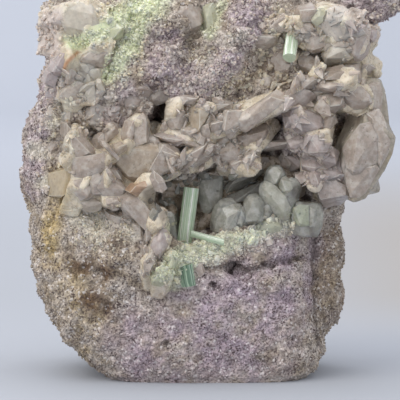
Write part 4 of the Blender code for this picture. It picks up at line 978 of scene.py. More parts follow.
@dataclass
class Placed:
    """Crystals waiting to be joined into one mesh; each takes the stain colours and painted shade of one
    place along it.
    """

    STAINED = 0.6

    templates: Templates
    corners: list = field(default_factory=list)
    faces: list = field(default_factory=list)
    middles: list = field(default_factory=list)
    tones: list = field(default_factory=list)
    count: int = 0

    def add(self, base: Vector, tip: Vector, width: float, habit: Habit, kind: int, roll: float, tone: float,
            flat: float, plain: bool) -> None:
        """Adds one crystal from the templates.

        Args:
            base: the middle of its root.
            tip: its far end.
            width: its width in metres.
            habit: its shape.
            kind: which crystal of that shape.
            roll: its turn about its own axis.
            tone: how light it is, from 0 to 1.
            flat: its second width as a share of the first.
            plain: whether its edges are left sharp.
        """
        points, faces = self.templates.made[habit, plain][kind % Templates.KINDS]
        axis = tip - base
        side = axis.cross(Vector((0.3, -1, 0.2)))
        side = side.normalized() if side.length > TINY else Vector((1, 0, 0))
        side.rotate(Matrix.Rotation(roll, 3, axis.normalized()))
        other = axis.cross(side).normalized()
        turned = points @ np.array([side * width, other * width * flat, axis]) + np.array(base)
        self.add_made(turned, faces, np.full(len(points), tone), np.array(base.lerp(tip, self.STAINED)))

    def add_made(self, points: np.ndarray, faces: np.ndarray, tones: np.ndarray,
                 middle: np.ndarray | None = None) -> None:
        """Adds a crystal that is already in place; its middle says which stains it has."""
        middle = points.mean(axis=0) if middle is None else middle
        self.corners.append(points)
        self.faces.append(faces + self.count)
        self.middles.append(np.tile(middle, (len(points), 1)))
        self.tones.append(tones)
        self.count += len(points)

    def mesh(self, name: str, limits: Limits) -> bpy.types.Mesh:
        """Joins the crystals.

        Args:
            name: the mesh's name.
            limits: the box to stay in.

        Returns:
            The mesh, painted by where each crystal stands.
        """
        corners = limits.keep(np.concatenate(self.corners))
        faces = np.concatenate(self.faces)
        mesh = mesh_of(name, corners, faces)
        middles, first = np.unique(np.concatenate(self.middles), axis=0, return_inverse=True)
        spread = {tint: values[first.ravel()] for tint, values in layers_at(middles).items()}
        paint(mesh, spread, np.concatenate(self.tones))
        mark_highlit_edges(mesh, corners, faces)
        return mesh


class Ground:
    """The surface that crystals stand on: the rock and the glassy masses together."""

    def __init__(self, meshes: list[bpy.types.Mesh]) -> None:
        """Joins the meshes for ray tests."""
        corners = []
        faces = []
        start = 0
        for mesh in meshes:
            places = vertices_of(mesh)
            corners.extend(Vector(p) for p in places)
            faces.extend([v + start for v in p.vertices] for p in mesh.polygons)
            start += len(places)
        self.tree = BVHTree.FromPolygons(corners, faces)

    def hit(self, across: float, down: float) -> tuple[Vector, Vector] | None:
        """Finds the point that shows at a place of the picture and its normal, or None past the outline."""
        place, normal, _, _ = self.tree.ray_cast(VIEW.eye, VIEW.ray(across, down))
        return None if place is None else (place, normal)


@dataclass(frozen=True)
class Seat:
    """How a crystal that the picture shows sits on what is behind it.

    Lift is the share of the crystal's lift that it gets and rise the share of that for its outline, sink is
    how far the outline goes in, and back is the size of its root against the outline.
    """

    lift: float = 0.62
    rise: float = 0.15
    sink: float = 0.0
    back: float = 0.85


STANDING = Seat()
GROWN = Seat(0.42, 0.0, 0.2 * MM, 0.96)


@dataclass(frozen=True)
class Gem:
    """A crystal whose outline the picture shows: a hull from that outline to a ridge in front.

    The outline is pairs of across and down, the lift is in millimetres, and the table is the ridge's half
    length as a share of the crystal's. What is behind is probed at shares of the way out to the outline.
    """

    PROBED = 0.7
    RIM_PROBED = 0.9
    AHEAD = 30
    NEARER = 1 * MM
    FARTHER = 2 * MM
    ROOT = 2.5 * MM
    FLAT = math.radians(7)
    BEVEL = 0.14 * MM
    PAINTED_RIDGE_DARKENING = 0.1
    PAINTED_OUTLINE_LIGHT = 0.25

    tone: float
    outline: tuple
    lift: float = 2.0
    table: float = 0.62

    def build(self, ground: Ground, chance: np.random.Generator,
              seat: Seat) -> tuple[np.ndarray, np.ndarray, np.ndarray]:
        """Builds the crystal.

        Args:
            ground: what it stands on.
            chance: random numbers.
            seat: how it sits there.

        Returns:
            Its vertices, its triangles and a tone for each vertex, with painted light: raised at the
            outline, lowered at the front ridge.
        """
        spots = np.array(self.outline, dtype=float).reshape(-1, 2)
        centre = spots.mean(axis=0)
        arms = spots - centre
        probes = [ground.hit(*(centre + arm * self.PROBED)) for arm in arms]
        depths = [found[0].y for found in probes if found]
        behind = float(np.median(depths)) if depths else 0.0
        ahead = float(np.percentile(depths, self.AHEAD)) if depths else 0.0
        lift = self.lift * MM * seat.lift
        bm = bmesh.new()
        for arm in arms:
            under = ground.hit(*(centre + arm * self.RIM_PROBED))
            rim = np.clip(under[0].y if under else behind, ahead - self.NEARER, behind + self.FARTHER)
            bm.verts.new(VIEW.at_depth(*(centre + arm), rim + seat.sink - lift * seat.rise))
            bm.verts.new(VIEW.at_depth(*(centre + arm * seat.back), behind + self.ROOT))
        for spot, height in self.front(centre, arms, chance):
            bm.verts.new(VIEW.at_depth(*spot, ahead - lift * height))
        out = bmesh.ops.convex_hull(bm, input=bm.verts[:])
        loose = {g for g in out["geom_interior"] + out["geom_unused"] if isinstance(g, bmesh.types.BMVert)}
        bmesh.ops.delete(bm, geom=list(loose), context="VERTS")
        bmesh.ops.dissolve_limit(bm, angle_limit=self.FLAT, verts=bm.verts[:], edges=bm.edges[:])
        bevelled(bm, bm.edges[:], self.BEVEL)
        points, faces = arrays_of(bm)
        # painted light: the tone is raised at the thin outline and lowered at the front ridge
        forward = ramp(points[:, 1], ahead - lift, lift)
        return points, faces, np.clip(self.tone - self.PAINTED_RIDGE_DARKENING + self.PAINTED_OUTLINE_LIGHT * forward, 0, 1)

    def front(self, centre: np.ndarray, arms: np.ndarray, chance: np.random.Generator) -> list:
        """Chooses the corners of the front: a sloping ridge, with a third face on a long crystal.

        Args:
            centre: the middle of the outline.
            arms: the outline's corners from that middle.
            chance: random numbers.

        Returns:
            Picture places, each with a share of the lift.
        """
        _, _, ways = np.linalg.svd(arms, full_matrices=False)
        reach = arms @ ways.T
        half = np.ptp(reach, axis=0) / 2
        middle = centre + ((reach.max(axis=0) + reach.min(axis=0)) / 2) @ ways
        side = chance.uniform(-0.45, 0.45)
        steep = chance.uniform(0.45, 0.85)
        spots = [(-self.table, side + 0.15, steep), (self.table, side - 0.15, 1.0)]
        if half[0] > 1.5 * half[1]:
            spots.append((chance.uniform(-0.2, 0.2), side - 0.5 * np.sign(side), 0.8))
        return [(middle + np.array([x, y]) * half @ ways, height) for x, y, height in spots]


@dataclass(frozen=True)
class Drift:
    """Many small crystals over some areas of the picture, leaning one way.

    An area is across, down, half width and half height. Lengths are in millimetres, slim is length against
    width, lean and spread are degrees, and out is how much they follow the surface's normal.
    """

    FORWARD = -0.15
    ASTRAY = 0.18
    FLATNESS = (0.55, 0.95)

    areas: tuple
    count: int
    length: tuple
    slim: tuple
    lean: float
    spread: float
    habits: tuple
    out: float = 0.6
    tone: tuple = (0.3, 0.9)


@dataclass(frozen=True)
class Cluster:
    """A group of crystals that is one piece: those that the picture shows and drifts of small ones.

    Crystals of drifts that stay below a length in millimetres have plain edges.
    """

    PLAIN_BELOW = 3

    name: str
    node: str
    drifts: tuple = ()
    gems: tuple = ()
    seed: int = 1
    sunk: float = 0.3
    gloss: Gloss = Gloss.GLASSY
    seat: Seat = STANDING

    def build(self, ground: Ground, templates: Templates, limits: Limits) -> bpy.types.Mesh:
        """Builds the crystals.

        Args:
            ground: what they stand on.
            templates: the shapes.
            limits: the box to stay in.

        Returns:
            The mesh.
        """
        chance = np.random.default_rng(self.seed)
        placed = Placed(templates)
        for gem in self.gems:
            placed.add_made(*gem.build(ground, chance, self.seat))
        for drift in self.drifts:
            self.add_drift(drift, ground, placed, chance)
        return placed.mesh(self.name, limits)

    def add_drift(self, drift: Drift, ground: Ground, placed: Placed, chance: np.random.Generator) -> None:
        """Places many small crystals."""
        sizes = np.array([a[2] * a[3] for a in drift.areas], dtype=float)
        for _ in range(drift.count):
            area = drift.areas[chance.choice(len(drift.areas), p=sizes / sizes.sum())]
            angle = chance.uniform(0, math.tau)
            far = math.sqrt(chance.uniform(0, 1))
            spot = (area[0] + math.cos(angle) * far * area[2], area[1] + math.sin(angle) * far * area[3])
            found = ground.hit(*spot)
            if found is None or any(closeness(np.array([spot]), bare)[0] > 0 for bare in CLEARINGS):
                continue
            place, normal = found
            way = math.radians(drift.lean + chance.normal(0, drift.spread))
            along = Vector((math.cos(way), drift.FORWARD, math.sin(way)))
            astray = Vector(chance.normal(0, drift.ASTRAY, 3))
            axis = (along * (1 - drift.out) + normal * drift.out + astray).normalized()
            length = chance.uniform(*drift.length) * MM
            width = length / chance.uniform(*drift.slim)
            base = place - axis * length * self.sunk
            habit = drift.habits[chance.integers(len(drift.habits))]
            placed.add(base, base + axis * length, width, habit, int(chance.integers(99)),
                       chance.uniform(0, math.tau), chance.uniform(*drift.tone),
                       chance.uniform(*drift.FLATNESS), drift.length[1] < self.PLAIN_BELOW)


CLEARINGS = (
    np.array(((192, 232, 5.5), (226, 243, 5.0))),
    np.array(((163, 100, 6.0), (156, 115, 8.0), (150, 136, 5.0))),
    np.array(((276, 118, 5.0), (274, 134, 6.0))),
    np.array(((262, 157, 5.0), (282, 154, 5.0))),
    np.array(((334, 140, 5.0), (350, 122, 6.0))),
)
SMALL = (Habit.BLOCK, Habit.PRISM, Habit.CHIP)
MIXED = (Habit.PRISM, Habit.BLADE, Habit.BLOCK, Habit.POINT)
JAGGED = (Habit.POINT, Habit.PRISM, Habit.PRISM)
SLENDER = (Habit.BLADE, Habit.POINT, Habit.BLADE, Habit.PRISM)
LEFT_GEMS = (
    Gem(0.62, (70, 132, 76, 127, 83, 134, 87, 142, 95, 150, 97, 156, 86, 160, 75, 160, 72, 150, 70, 140),
        3.0),
    Gem(0.6, (120, 134, 124, 121, 131, 116, 136, 118, 136, 130, 132, 142, 128, 149, 121, 140), 3.0),
    Gem(0.48, (136, 118, 143, 112, 148, 116, 145, 126, 149, 135, 150, 142, 138, 142, 133, 148, 136, 132),
        2.5),
    Gem(0.64, (96, 143, 106, 130, 112, 121, 119, 124, 120, 133, 112, 140, 104, 147), 2.6),
    Gem(0.58, (72, 158, 86, 157, 97, 155, 108, 152, 113, 160, 111, 169, 98, 176, 84, 179, 74, 178, 71, 168),
        3.4, 0.75),
    Gem(0.48, (95, 178, 104, 172, 118, 178, 129, 190, 122, 197, 104, 197, 93, 195, 92, 186), 3.6, 0.7),
    Gem(0.62, (113, 160, 120, 150, 130, 148, 137, 144, 155, 141, 165, 145, 158, 155, 150, 168, 146, 179,
        134, 183, 124, 177, 116, 168), 3.6, 0.75),
    Gem(0.52, (158, 142, 170, 143, 178, 148, 181, 156, 176, 166, 168, 173, 158, 177, 150, 180, 147, 172,
        152, 160), 3.0, 0.7),
    Gem(0.55, (124, 190, 130, 183, 146, 180, 150, 186, 145, 192, 138, 197, 130, 194), 2.6),
    Gem(0.5, (118, 195, 130, 193, 139, 197, 148, 205, 154, 216, 158, 230, 152, 238, 146, 228, 141, 216, 131,
        208, 120, 205), 2.4, 0.6),
    Gem(0.55, (73, 180, 84, 178, 94, 181, 95, 194, 90, 200, 80, 201, 73, 192), 3.0, 0.7),
    Gem(0.64, (104, 197, 118, 196, 122, 205, 112, 210, 104, 208), 2.4),
    Gem(0.56, (120, 206, 134, 206, 146, 215, 147, 222, 136, 221, 124, 217), 2.0),
    Gem(0.45, (82, 208, 87, 206, 90, 212, 86, 217, 82, 214), 1.6),
    Gem(0.58, (78, 201, 92, 197, 104, 203, 100, 211, 90, 213, 80, 209), 2.2),
    Gem(0.6, (48, 173, 60, 168, 70, 168, 73, 178, 70, 192, 60, 199, 48, 196), 1.4, 0.75),
    Gem(0.6, (98, 150, 110, 146, 120, 141, 128, 144, 128, 150, 116, 157, 108, 156), 2.4),
    Gem(0.5, (106, 168, 114, 164, 122, 172, 124, 182, 116, 180), 2.2),
    Gem(0.58, (104, 210, 116, 212, 128, 218, 130, 226, 118, 226, 106, 220), 1.6),
    Gem(0.52, (130, 222, 142, 222, 146, 232, 142, 242, 134, 238), 1.6),
    Gem(0.55, (146, 226, 152, 226, 152, 238, 148, 246, 143, 240), 1.8),
    Gem(0.5, (140, 246, 148, 242, 150, 250, 146, 258, 140, 254), 1.8),
)
MIDDLE_GEMS = (
    Gem(0.62, (188, 108, 196, 103, 208, 105, 210, 112, 204, 121, 200, 133, 194, 134, 190, 124, 187, 114),
        3.2),
    Gem(0.66, (163, 124, 167, 112, 176, 105, 186, 110, 189, 121, 182, 130, 172, 130), 2.8),
    Gem(0.42, (179, 128, 190, 126, 198, 134, 191, 138, 181, 134), 2.0),
    Gem(0.75, (152, 135, 160, 132, 172, 135, 184, 138, 190, 141, 186, 145, 178, 149, 168, 146, 160, 141),
        3.4),
    Gem(0.64, (180, 160, 190, 153, 199, 146, 208, 139, 213, 142, 216, 147, 214, 154, 208, 161, 200, 166,
        193, 168, 185, 165), 3.6, 0.55),
    Gem(0.7, (174, 167, 177, 159, 184, 158, 185, 164, 181, 170, 176, 170), 2.6),
    Gem(0.54, (160, 146, 170, 146, 180, 150, 181, 158, 175, 164, 166, 161, 160, 154), 2.4),
    Gem(0.8, (239, 114, 258, 102, 268, 95, 277, 89, 284, 92, 285, 101, 276, 109, 266, 117, 256, 123, 246,
        133, 239, 130, 237, 121), 4.0, 0.55),
    Gem(0.7, (220, 118, 232, 109, 243, 110, 241, 122, 238, 131, 232, 139, 228, 139, 226, 131, 221, 126),
        3.6),
    Gem(0.66, (208, 128, 210, 121, 218, 118, 226, 121, 227, 131, 219, 133, 211, 132), 3.2),
    Gem(0.42, (236, 136, 246, 132, 258, 126, 266, 122, 271, 128, 266, 138, 256, 150, 247, 148, 238, 144),
        2.8, 0.7),
    Gem(0.6, (216, 153, 224, 146, 230, 142, 237, 146, 243, 151, 240, 160, 232, 166, 222, 163), 3.0),
    Gem(0.68, (244, 152, 254, 150, 260, 157, 252, 163, 244, 162), 2.8),
    Gem(0.6, (228, 160, 240, 157, 246, 164, 236, 171, 228, 168), 2.4),
    Gem(0.55, (256, 150, 264, 142, 282, 139, 292, 142, 285, 149, 268, 152), 2.6),
    Gem(0.5, (278, 158, 283, 151, 293, 154, 294, 162, 288, 170, 281, 166), 2.4),
    Gem(0.5, (198, 124, 208, 116, 214, 112, 216, 118, 208, 124, 207, 133, 200, 134), 1.6),
    Gem(0.62, (212, 104, 224, 98, 234, 102, 232, 109, 220, 114, 212, 112), 2.4),
    Gem(0.58, (150, 92, 162, 90, 172, 96, 168, 102, 156, 106, 148, 100), 2.0),
    Gem(0.6, (176, 96, 188, 94, 200, 97, 196, 104, 184, 106, 176, 104), 2.0),
)
RIGHT_GEMS = (
    Gem(0.48, (282, 112, 294, 107, 310, 110, 322, 116, 326, 126, 314, 134, 300, 135, 286, 126), 3.0, 0.72),
    Gem(0.55, (284, 92, 296, 86, 310, 89, 318, 96, 308, 106, 292, 108, 284, 102), 3.0),
    Gem(0.62, (308, 137, 316, 134, 324, 139, 328, 152, 318, 157, 308, 153), 4.0),
    Gem(0.58, (300, 157, 314, 156, 322, 166, 313, 173, 302, 170), 3.6),
    Gem(0.64, (307, 173, 314, 170, 321, 172, 321, 181, 317, 188, 310, 184), 4.0),
    Gem(0.5, (324, 141, 333, 146, 340, 152, 337, 166, 327, 169, 321, 160), 3.0),
    Gem(0.5, (318, 97, 330, 90, 344, 95, 346, 107, 334, 114, 321, 108), 3.0),
    Gem(0.5, (322, 170, 336, 168, 347, 176, 341, 183, 326, 181), 2.6),
    Gem(0.5, (286, 140, 299, 134, 308, 139, 306, 152, 294, 154, 286, 148), 2.6),
    Gem(0.45, (316, 188, 324, 181, 336, 180, 347, 186, 350, 197, 341, 205, 326, 208, 318, 201), 2.8, 0.75),
    Gem(0.52, (326, 116, 336, 114, 338, 122, 330, 130, 322, 132, 320, 124), 2.6),
    Gem(0.56, (286, 156, 296, 154, 302, 160, 298, 170, 290, 172), 2.2),
    Gem(0.5, (294, 172, 304, 171, 308, 180, 302, 187, 295, 182), 2.2),
)
CLEAR_GEMS = (
    Gem(0.55, (342, 148, 350, 138, 362, 126, 371, 121, 378, 136, 380, 150, 376, 164, 366, 175, 353, 177,
        346, 168), 3.0, 0.8),
    Gem(0.62, (366, 113, 379, 108, 384, 116, 387, 136, 391, 142, 388, 155, 380, 169, 377, 162, 380, 148,
        376, 132, 370, 121), 2.0, 0.7),
    Gem(0.55, (345, 168, 353, 177, 366, 175, 377, 164, 380, 169, 373, 180, 366, 193, 359, 198, 350, 198,
        346, 185), 2.4, 0.75),
    Gem(0.56, (366, 86, 372, 82, 380, 82, 383, 92, 382, 104, 382, 112, 371, 118, 365, 108), 2.0, 0.75),
)
UPPER_RIGHT_GEMS = (
    Gem(0.5, (345, 103, 344, 95, 351, 87, 362, 86, 370, 94, 373, 103, 364, 109, 354, 110), 3.4, 0.7),
    Gem(0.95, (315, 88, 320, 81, 332, 82, 341, 84, 344, 88, 338, 92, 326, 93, 317, 91), 4.2, 0.5),
    Gem(0.62, (362, 64, 372, 64, 376, 68, 369, 75, 361, 75), 1.0, 0.5),
    Gem(0.76, (322, 16, 327, 9, 335, 5, 345, 7, 355, 14, 361, 23, 366, 33, 359, 38, 349, 41, 337, 42, 326,
        36, 318, 26), 3.6, 0.72),
    Gem(0.56, (360, 38, 367, 35, 371, 44, 368, 55, 362, 61, 354, 62, 349, 50, 350, 41), 2.6),
    Gem(0.66, (305, 48, 308, 37, 316, 33, 323, 38, 326, 46, 320, 53, 312, 54), 3.4),
    Gem(0.6, (297, 55, 306, 52, 318, 58, 326, 66, 316, 74, 304, 72, 298, 64), 2.8),
    Gem(0.63, (320, 54, 334, 44, 347, 46, 351, 58, 341, 66, 326, 66), 3.0),
    Gem(0.62, (300, 80, 314, 76, 320, 80, 313, 90, 300, 92), 2.6),
    Gem(0.55, (345, 63, 360, 63, 362, 74, 362, 84, 350, 84, 344, 74), 2.4, 0.7),
    Gem(0.36, (326, 68, 343, 64, 350, 71, 344, 79, 330, 81, 321, 77), 1.2, 0.8),
    Gem(0.6, (296, 24, 311, 22, 318, 32, 309, 40, 298, 40), 2.8),
    Gem(0.55, (296, 6, 312, 2, 320, 12, 316, 22, 302, 22, 294, 14), 2.6),
    Gem(0.5, (366, 30, 377, 29, 377, 36, 374, 42, 370, 44, 367, 36), 1.2),
    Gem(0.6, (268, 22, 280, 14, 290, 18, 288, 30, 276, 36, 266, 32), 2.2),
    Gem(0.62, (250, 36, 266, 33, 280, 36, 276, 46, 262, 51, 250, 46), 2.2),
    Gem(0.75, (262, 77, 268, 75, 272, 78, 272, 86, 266, 88, 262, 85), 2.0),
    Gem(0.5, (330, 44, 340, 40, 352, 42, 348, 50, 336, 50), 2.0),
    Gem(0.6, (272, 52, 284, 48, 292, 62, 288, 74, 276, 72, 270, 62), 1.6),
    Gem(0.58, (344, 22, 352, 18, 362, 30, 358, 36, 348, 34), 4.4, 0.6),
)
UPPER_LEFT_GEMS = (
    Gem(0.55, (60, 20, 64, 8, 78, 2, 92, 4, 98, 14, 100, 24, 91, 32, 77, 38, 65, 34), 2.6, 0.75),
    Gem(0.62, (78, 62, 82, 54, 96, 48, 111, 51, 114, 60, 104, 69, 88, 67), 2.8, 0.7),
    Gem(0.58, (74, 80, 77, 70, 90, 66, 104, 70, 101, 80, 88, 85), 2.6, 0.7),
    Gem(0.55, (58, 98, 61, 85, 76, 80, 89, 86, 84, 99, 70, 104), 2.4, 0.7),
    Gem(0.46, (88, 98, 89, 86, 100, 84, 107, 92, 99, 100), 2.2, 0.7),
    Gem(0.62, (46, 70, 50, 60, 60, 52, 72, 54, 67, 71, 56, 79), 1.8, 0.75),
    Gem(0.5, (84, 118, 86, 108, 96, 103, 106, 108, 106, 122, 97, 130, 88, 126), 2.4, 0.65),
    Gem(0.57, (59, 118, 61, 106, 71, 103, 75, 114, 67, 124), 2.0),
    Gem(0.4, (59, 134, 61, 121, 71, 120, 73, 132, 67, 140), 1.6),
    Gem(0.45, (176, 18, 178, 8, 190, 3, 200, 8, 204, 21, 197, 33, 187, 30), 2.4, 0.7),
    Gem(0.5, (202, 6, 214, 1, 219, 12, 216, 33, 207, 36, 201, 24), 2.2, 0.7),
    Gem(0.6, (104, 30, 116, 22, 126, 26, 122, 38, 110, 42), 1.6),
    Gem(0.62, (112, 12, 124, 8, 132, 14, 128, 24, 116, 24), 1.8),
    Gem(0.55, (44, 86, 54, 80, 60, 86, 56, 98, 46, 98), 1.6),
    Gem(0.6, (122, 98, 134, 94, 142, 100, 138, 110, 126, 112), 1.8),
    Gem(0.6, (134, 88, 146, 84, 154, 92, 148, 100, 138, 98), 1.8),
    Gem(0.52, (106, 106, 118, 104, 122, 114, 114, 120, 106, 116), 2.0),
    Gem(0.6, (50, 140, 60, 138, 62, 146, 54, 152, 46, 148), 1.2),
)
POCKET_GEMS = (
    Gem(0.38, (200, 178, 212, 175, 223, 176, 224, 188, 222, 200, 217, 207, 213, 204, 209, 214, 203, 213,
        198, 200, 199, 188), 2.4, 0.7),
    # the two long crystals at the back of the hollow: low tones that are partly their dull colour, partly
    # painted shade
    Gem(0.22, (224, 186, 244, 170, 258, 164, 266, 172, 256, 180, 240, 190, 226, 194), 2.0),
    Gem(0.3, (226, 196, 240, 195, 258, 184, 265, 180, 266, 190, 250, 200, 232, 204), 2.2),
    Gem(0.75, (214, 232, 216, 221, 222, 208, 232, 204, 241, 203, 242, 212, 237, 226, 225, 233), 2.6, 0.6),
    Gem(0.7, (244, 222, 244, 206, 248, 199, 254, 197, 260, 201, 264, 210, 264, 222, 254, 227), 2.8, 0.6),
    Gem(0.62, (236, 224, 239, 212, 244, 206, 247, 220, 242, 228), 1.8),
    Gem(0.45, (264, 206, 270, 203, 273, 213, 268, 220, 263, 216), 1.6),
    Gem(0.78, (266, 180, 268, 171, 274, 166, 281, 168, 285, 174, 281, 183, 272, 185), 3.0),
    Gem(0.95, (278, 186, 281, 178, 286, 175, 292, 182, 293, 189, 288, 194, 281, 192), 4.2),
    Gem(0.82, (261, 187, 264, 180, 272, 182, 280, 189, 286, 196, 291, 208, 290, 220, 282, 222, 274, 214,
        267, 202, 262, 194), 3.4, 0.6),
    Gem(0.66, (292, 208, 299, 204, 309, 205, 310, 226, 299, 227, 292, 219), 2.6, 0.7),
    Gem(0.55, (309, 206, 316, 207, 317, 216, 316, 227, 309, 228), 2.2, 0.7),
    Gem(0.6, (168, 203, 174, 200, 178, 208, 180, 228, 178, 243, 171, 238, 167, 220), 2.0, 0.55),
    Gem(0.75, (258, 222, 268, 218, 282, 222, 284, 230, 270, 234, 258, 230), 1.8),
)
BLUNT_GEMS = (
    Gem(0.85, (150, 246, 153, 238, 160, 229, 166, 229, 170, 236, 168, 246, 163, 256, 159, 260, 155, 255),
        2.6, 0.55),
    Gem(0.6, (143, 262, 148, 254, 153, 250, 157, 258, 158, 264, 150, 277, 144, 272), 2.2),
    Gem(0.74, (150, 276, 158, 267, 166, 271, 170, 281, 161, 287, 151, 285), 2.2),
    Gem(0.9, (161, 222, 165, 217, 166, 225, 162, 230), 1.6),
    Gem(0.66, (164, 262, 172, 252, 178, 258, 176, 270, 168, 270), 1.8),
    Gem(0.6, (194, 266, 202, 262, 206, 272, 198, 278), 1.4),
)
CLUSTERS = (
    Cluster("left_glassy_crystals", "left_glassy_mass", gems=LEFT_GEMS, drifts=(
        Drift(((100, 165, 28, 26), (145, 170, 30, 22)), 8, (4, 8), (1.1, 1.7), 150, 50, MIXED, 0.3),
        Drift(((100, 145, 30, 14), (140, 150, 30, 14)), 6, (3, 6), (1.8, 3.0), 120, 50, SLENDER, 0.35, (0.6,
            1.1)),
        Drift(((110, 215, 30, 12),), 24, (1.6, 2.9), (1.1, 1.6), 60, 60, SMALL, 0.4),
    ), seed=11, seat=GROWN),
    Cluster("middle_pale_crystals", "middle_crystals", gems=MIDDLE_GEMS, drifts=(
        Drift(((205, 115, 36, 14), (225, 140, 36, 20), (180, 145, 30, 20)), 34, (3, 6), (1.1, 1.9), 30, 40,
            MIXED, 0.3),
        Drift(((200, 115, 40, 16), (230, 140, 36, 18), (180, 150, 26, 16)), 34, (3, 6), (1.8, 3.0), 40, 40,
            SLENDER, 0.4, (0.6, 1.2)),
        Drift(((185, 172, 26, 8), (240, 165, 22, 8)), 30, (2, 4), (1.2, 1.8), 10, 40, MIXED, 0.4),
        Drift(((205, 112, 40, 16), (235, 140, 34, 18), (185, 150, 26, 14)), 70, (2.0, 3.6), (1.2, 2.1), 60,
            60, JAGGED, 0.6, (0.6, 1.3)),
    ), seed=12),
    Cluster("right_milky_group", "right_milky_crystals", gems=RIGHT_GEMS, drifts=(
        Drift(((303, 120, 22, 30), (310, 158, 24, 24), (335, 178, 16, 14)), 26, (3, 6), (1.1, 1.7), -60, 50,
            MIXED, 0.3),
        Drift(((303, 125, 24, 32), (315, 165, 26, 24)), 12, (3, 6), (1.8, 3.0), -70, 45, SLENDER, 0.35,
            (0.6, 1.1)),
        Drift(((303, 120, 22, 30), (312, 160, 24, 26)), 36, (2.0, 3.6), (1.2, 2.0), 20, 70, JAGGED, 0.6,
            (0.6, 1.2)),
    ), seed=13),
    Cluster("right_clear_crystal", "right_clear_block", gems=CLEAR_GEMS, seed=14),
    Cluster("upper_right_group", "upper_right_crystals", gems=UPPER_RIGHT_GEMS, drifts=(
        Drift(((330, 35, 30, 24), (335, 85, 26, 18), (300, 85, 20, 20)), 28, (3, 6), (1.1, 1.8), 20, 50,
            MIXED, 0.3, (0.4, 0.75)),
        Drift(((330, 35, 32, 26), (335, 85, 28, 20), (300, 60, 20, 36)), 26, (3, 6), (1.8, 3.0), 30, 50,
            SLENDER, 0.4, (0.6, 1.2)),
        Drift(((325, 40, 32, 26), (335, 85, 28, 20), (295, 60, 20, 36)), 70, (2.0, 3.8), (1.2, 2.0), 60, 60,
            JAGGED, 0.6, (0.6, 1.2)),
    ), seed=15),
    Cluster("upper_left_group", "upper_left_glassy_mass", gems=UPPER_LEFT_GEMS, drifts=(
        Drift(((78, 80, 28, 20), (62, 112, 16, 16)), 14, (3, 6), (1.1, 1.6), 120, 60, MIXED, 0.3, (0.45,
            0.75)),
        Drift(((90, 115, 34, 24), (135, 105, 18, 14)), 60, (1.6, 3.4), (1.1, 1.8), 100, 60, MIXED, 0.45),
        Drift(((78, 82, 28, 14), (70, 112, 24, 20)), 8, (3, 6), (1.8, 3.0), 60, 50, SLENDER, 0.35, (0.6,
            1.1)),
    ), seed=16, seat=GROWN),
    Cluster("green_crust_crystals", "matrix_rock", drifts=(
        Drift(((130, 12, 34, 14), (95, 38, 30, 10), (130, 40, 16, 22), (115, 72, 16, 20)), 700, (0.7, 1.9),
            (1.0, 1.7), 90, 80, SMALL, 0.6, (1.0, 1.7)),
        Drift(((200, 252, 28, 15), (240, 242, 28, 13), (272, 228, 22, 13), (180, 272, 22, 16), (162, 262,
            14, 18)), 900, (0.6, 1.5), (1.0, 1.8), 90, 80, SMALL, 0.6, (1.0, 1.7)),
        Drift(((205, 250, 30, 12), (245, 238, 28, 12), (276, 222, 20, 10), (178, 272, 22, 14)), 60, (2.0,
            3.6), (1.0, 1.7), 80, 60, MIXED, 0.4, (1.0, 1.5)),
    ), seed=17, sunk=0.42, gloss=Gloss.MILKY),
    Cluster("small_lilac_crystals", "matrix_rock", drifts=(
        Drift(((165, 60, 30, 40), (215, 75, 40, 32), (245, 25, 40, 28), (375, 15, 26, 16)), 560, (0.7, 1.9),
            (1.0, 1.6), 90, 90, SMALL, 0.75),
        Drift(((48, 30, 10, 34), (46, 80, 8, 24)), 110, (0.9, 2.2), (1.0, 1.7), 90, 90, SMALL, 0.75, (0.4,
            0.9)),
        Drift(((100, 232, 30, 22), (250, 40, 24, 14), (215, 75, 22, 26)), 500, (0.6, 1.5), (1.0, 1.7), 90,
            90, SMALL, 0.7, (0.5, 1.0)),
        Drift(((50, 60, 16, 60), (70, 120, 34, 30), (50, 150, 24, 30)), 160, (0.9, 2.2), (1.0, 1.7), 90, 90,
            SMALL, 0.75),
        Drift(((280, 60, 24, 50), (280, 20, 20, 20)), 120, (1.4, 3.6), (1.1, 1.8), 60, 60, MIXED, 0.5),
    ), seed=18, sunk=0.42, gloss=Gloss.MILKY),
    Cluster("pocket_crystals", "dome_crystals", gems=POCKET_GEMS, drifts=(
        Drift(((245, 222, 24, 8), (285, 218, 16, 8)), 30, (1.6, 3.4), (1.2, 2.0), 90, 35, MIXED, 0.4),
        # very low tones: painted shade deep in the hollow
        Drift(((185, 182, 30, 8), (235, 185, 26, 10), (160, 205, 10, 14)), 40, (2, 5), (1.3, 2.2), 40, 50,
            MIXED, 0.4, (0.0, 0.25)),
    ), seed=19, gloss=Gloss.POCKET),
    Cluster("blunt_lilac_group", "lilac_blunt_prisms", gems=BLUNT_GEMS, drifts=(
        Drift(((155, 270, 12, 14),), 16, (1.6, 3.4), (1.2, 1.8), 90, 40, SMALL, 0.4),
    ), seed=20),
)


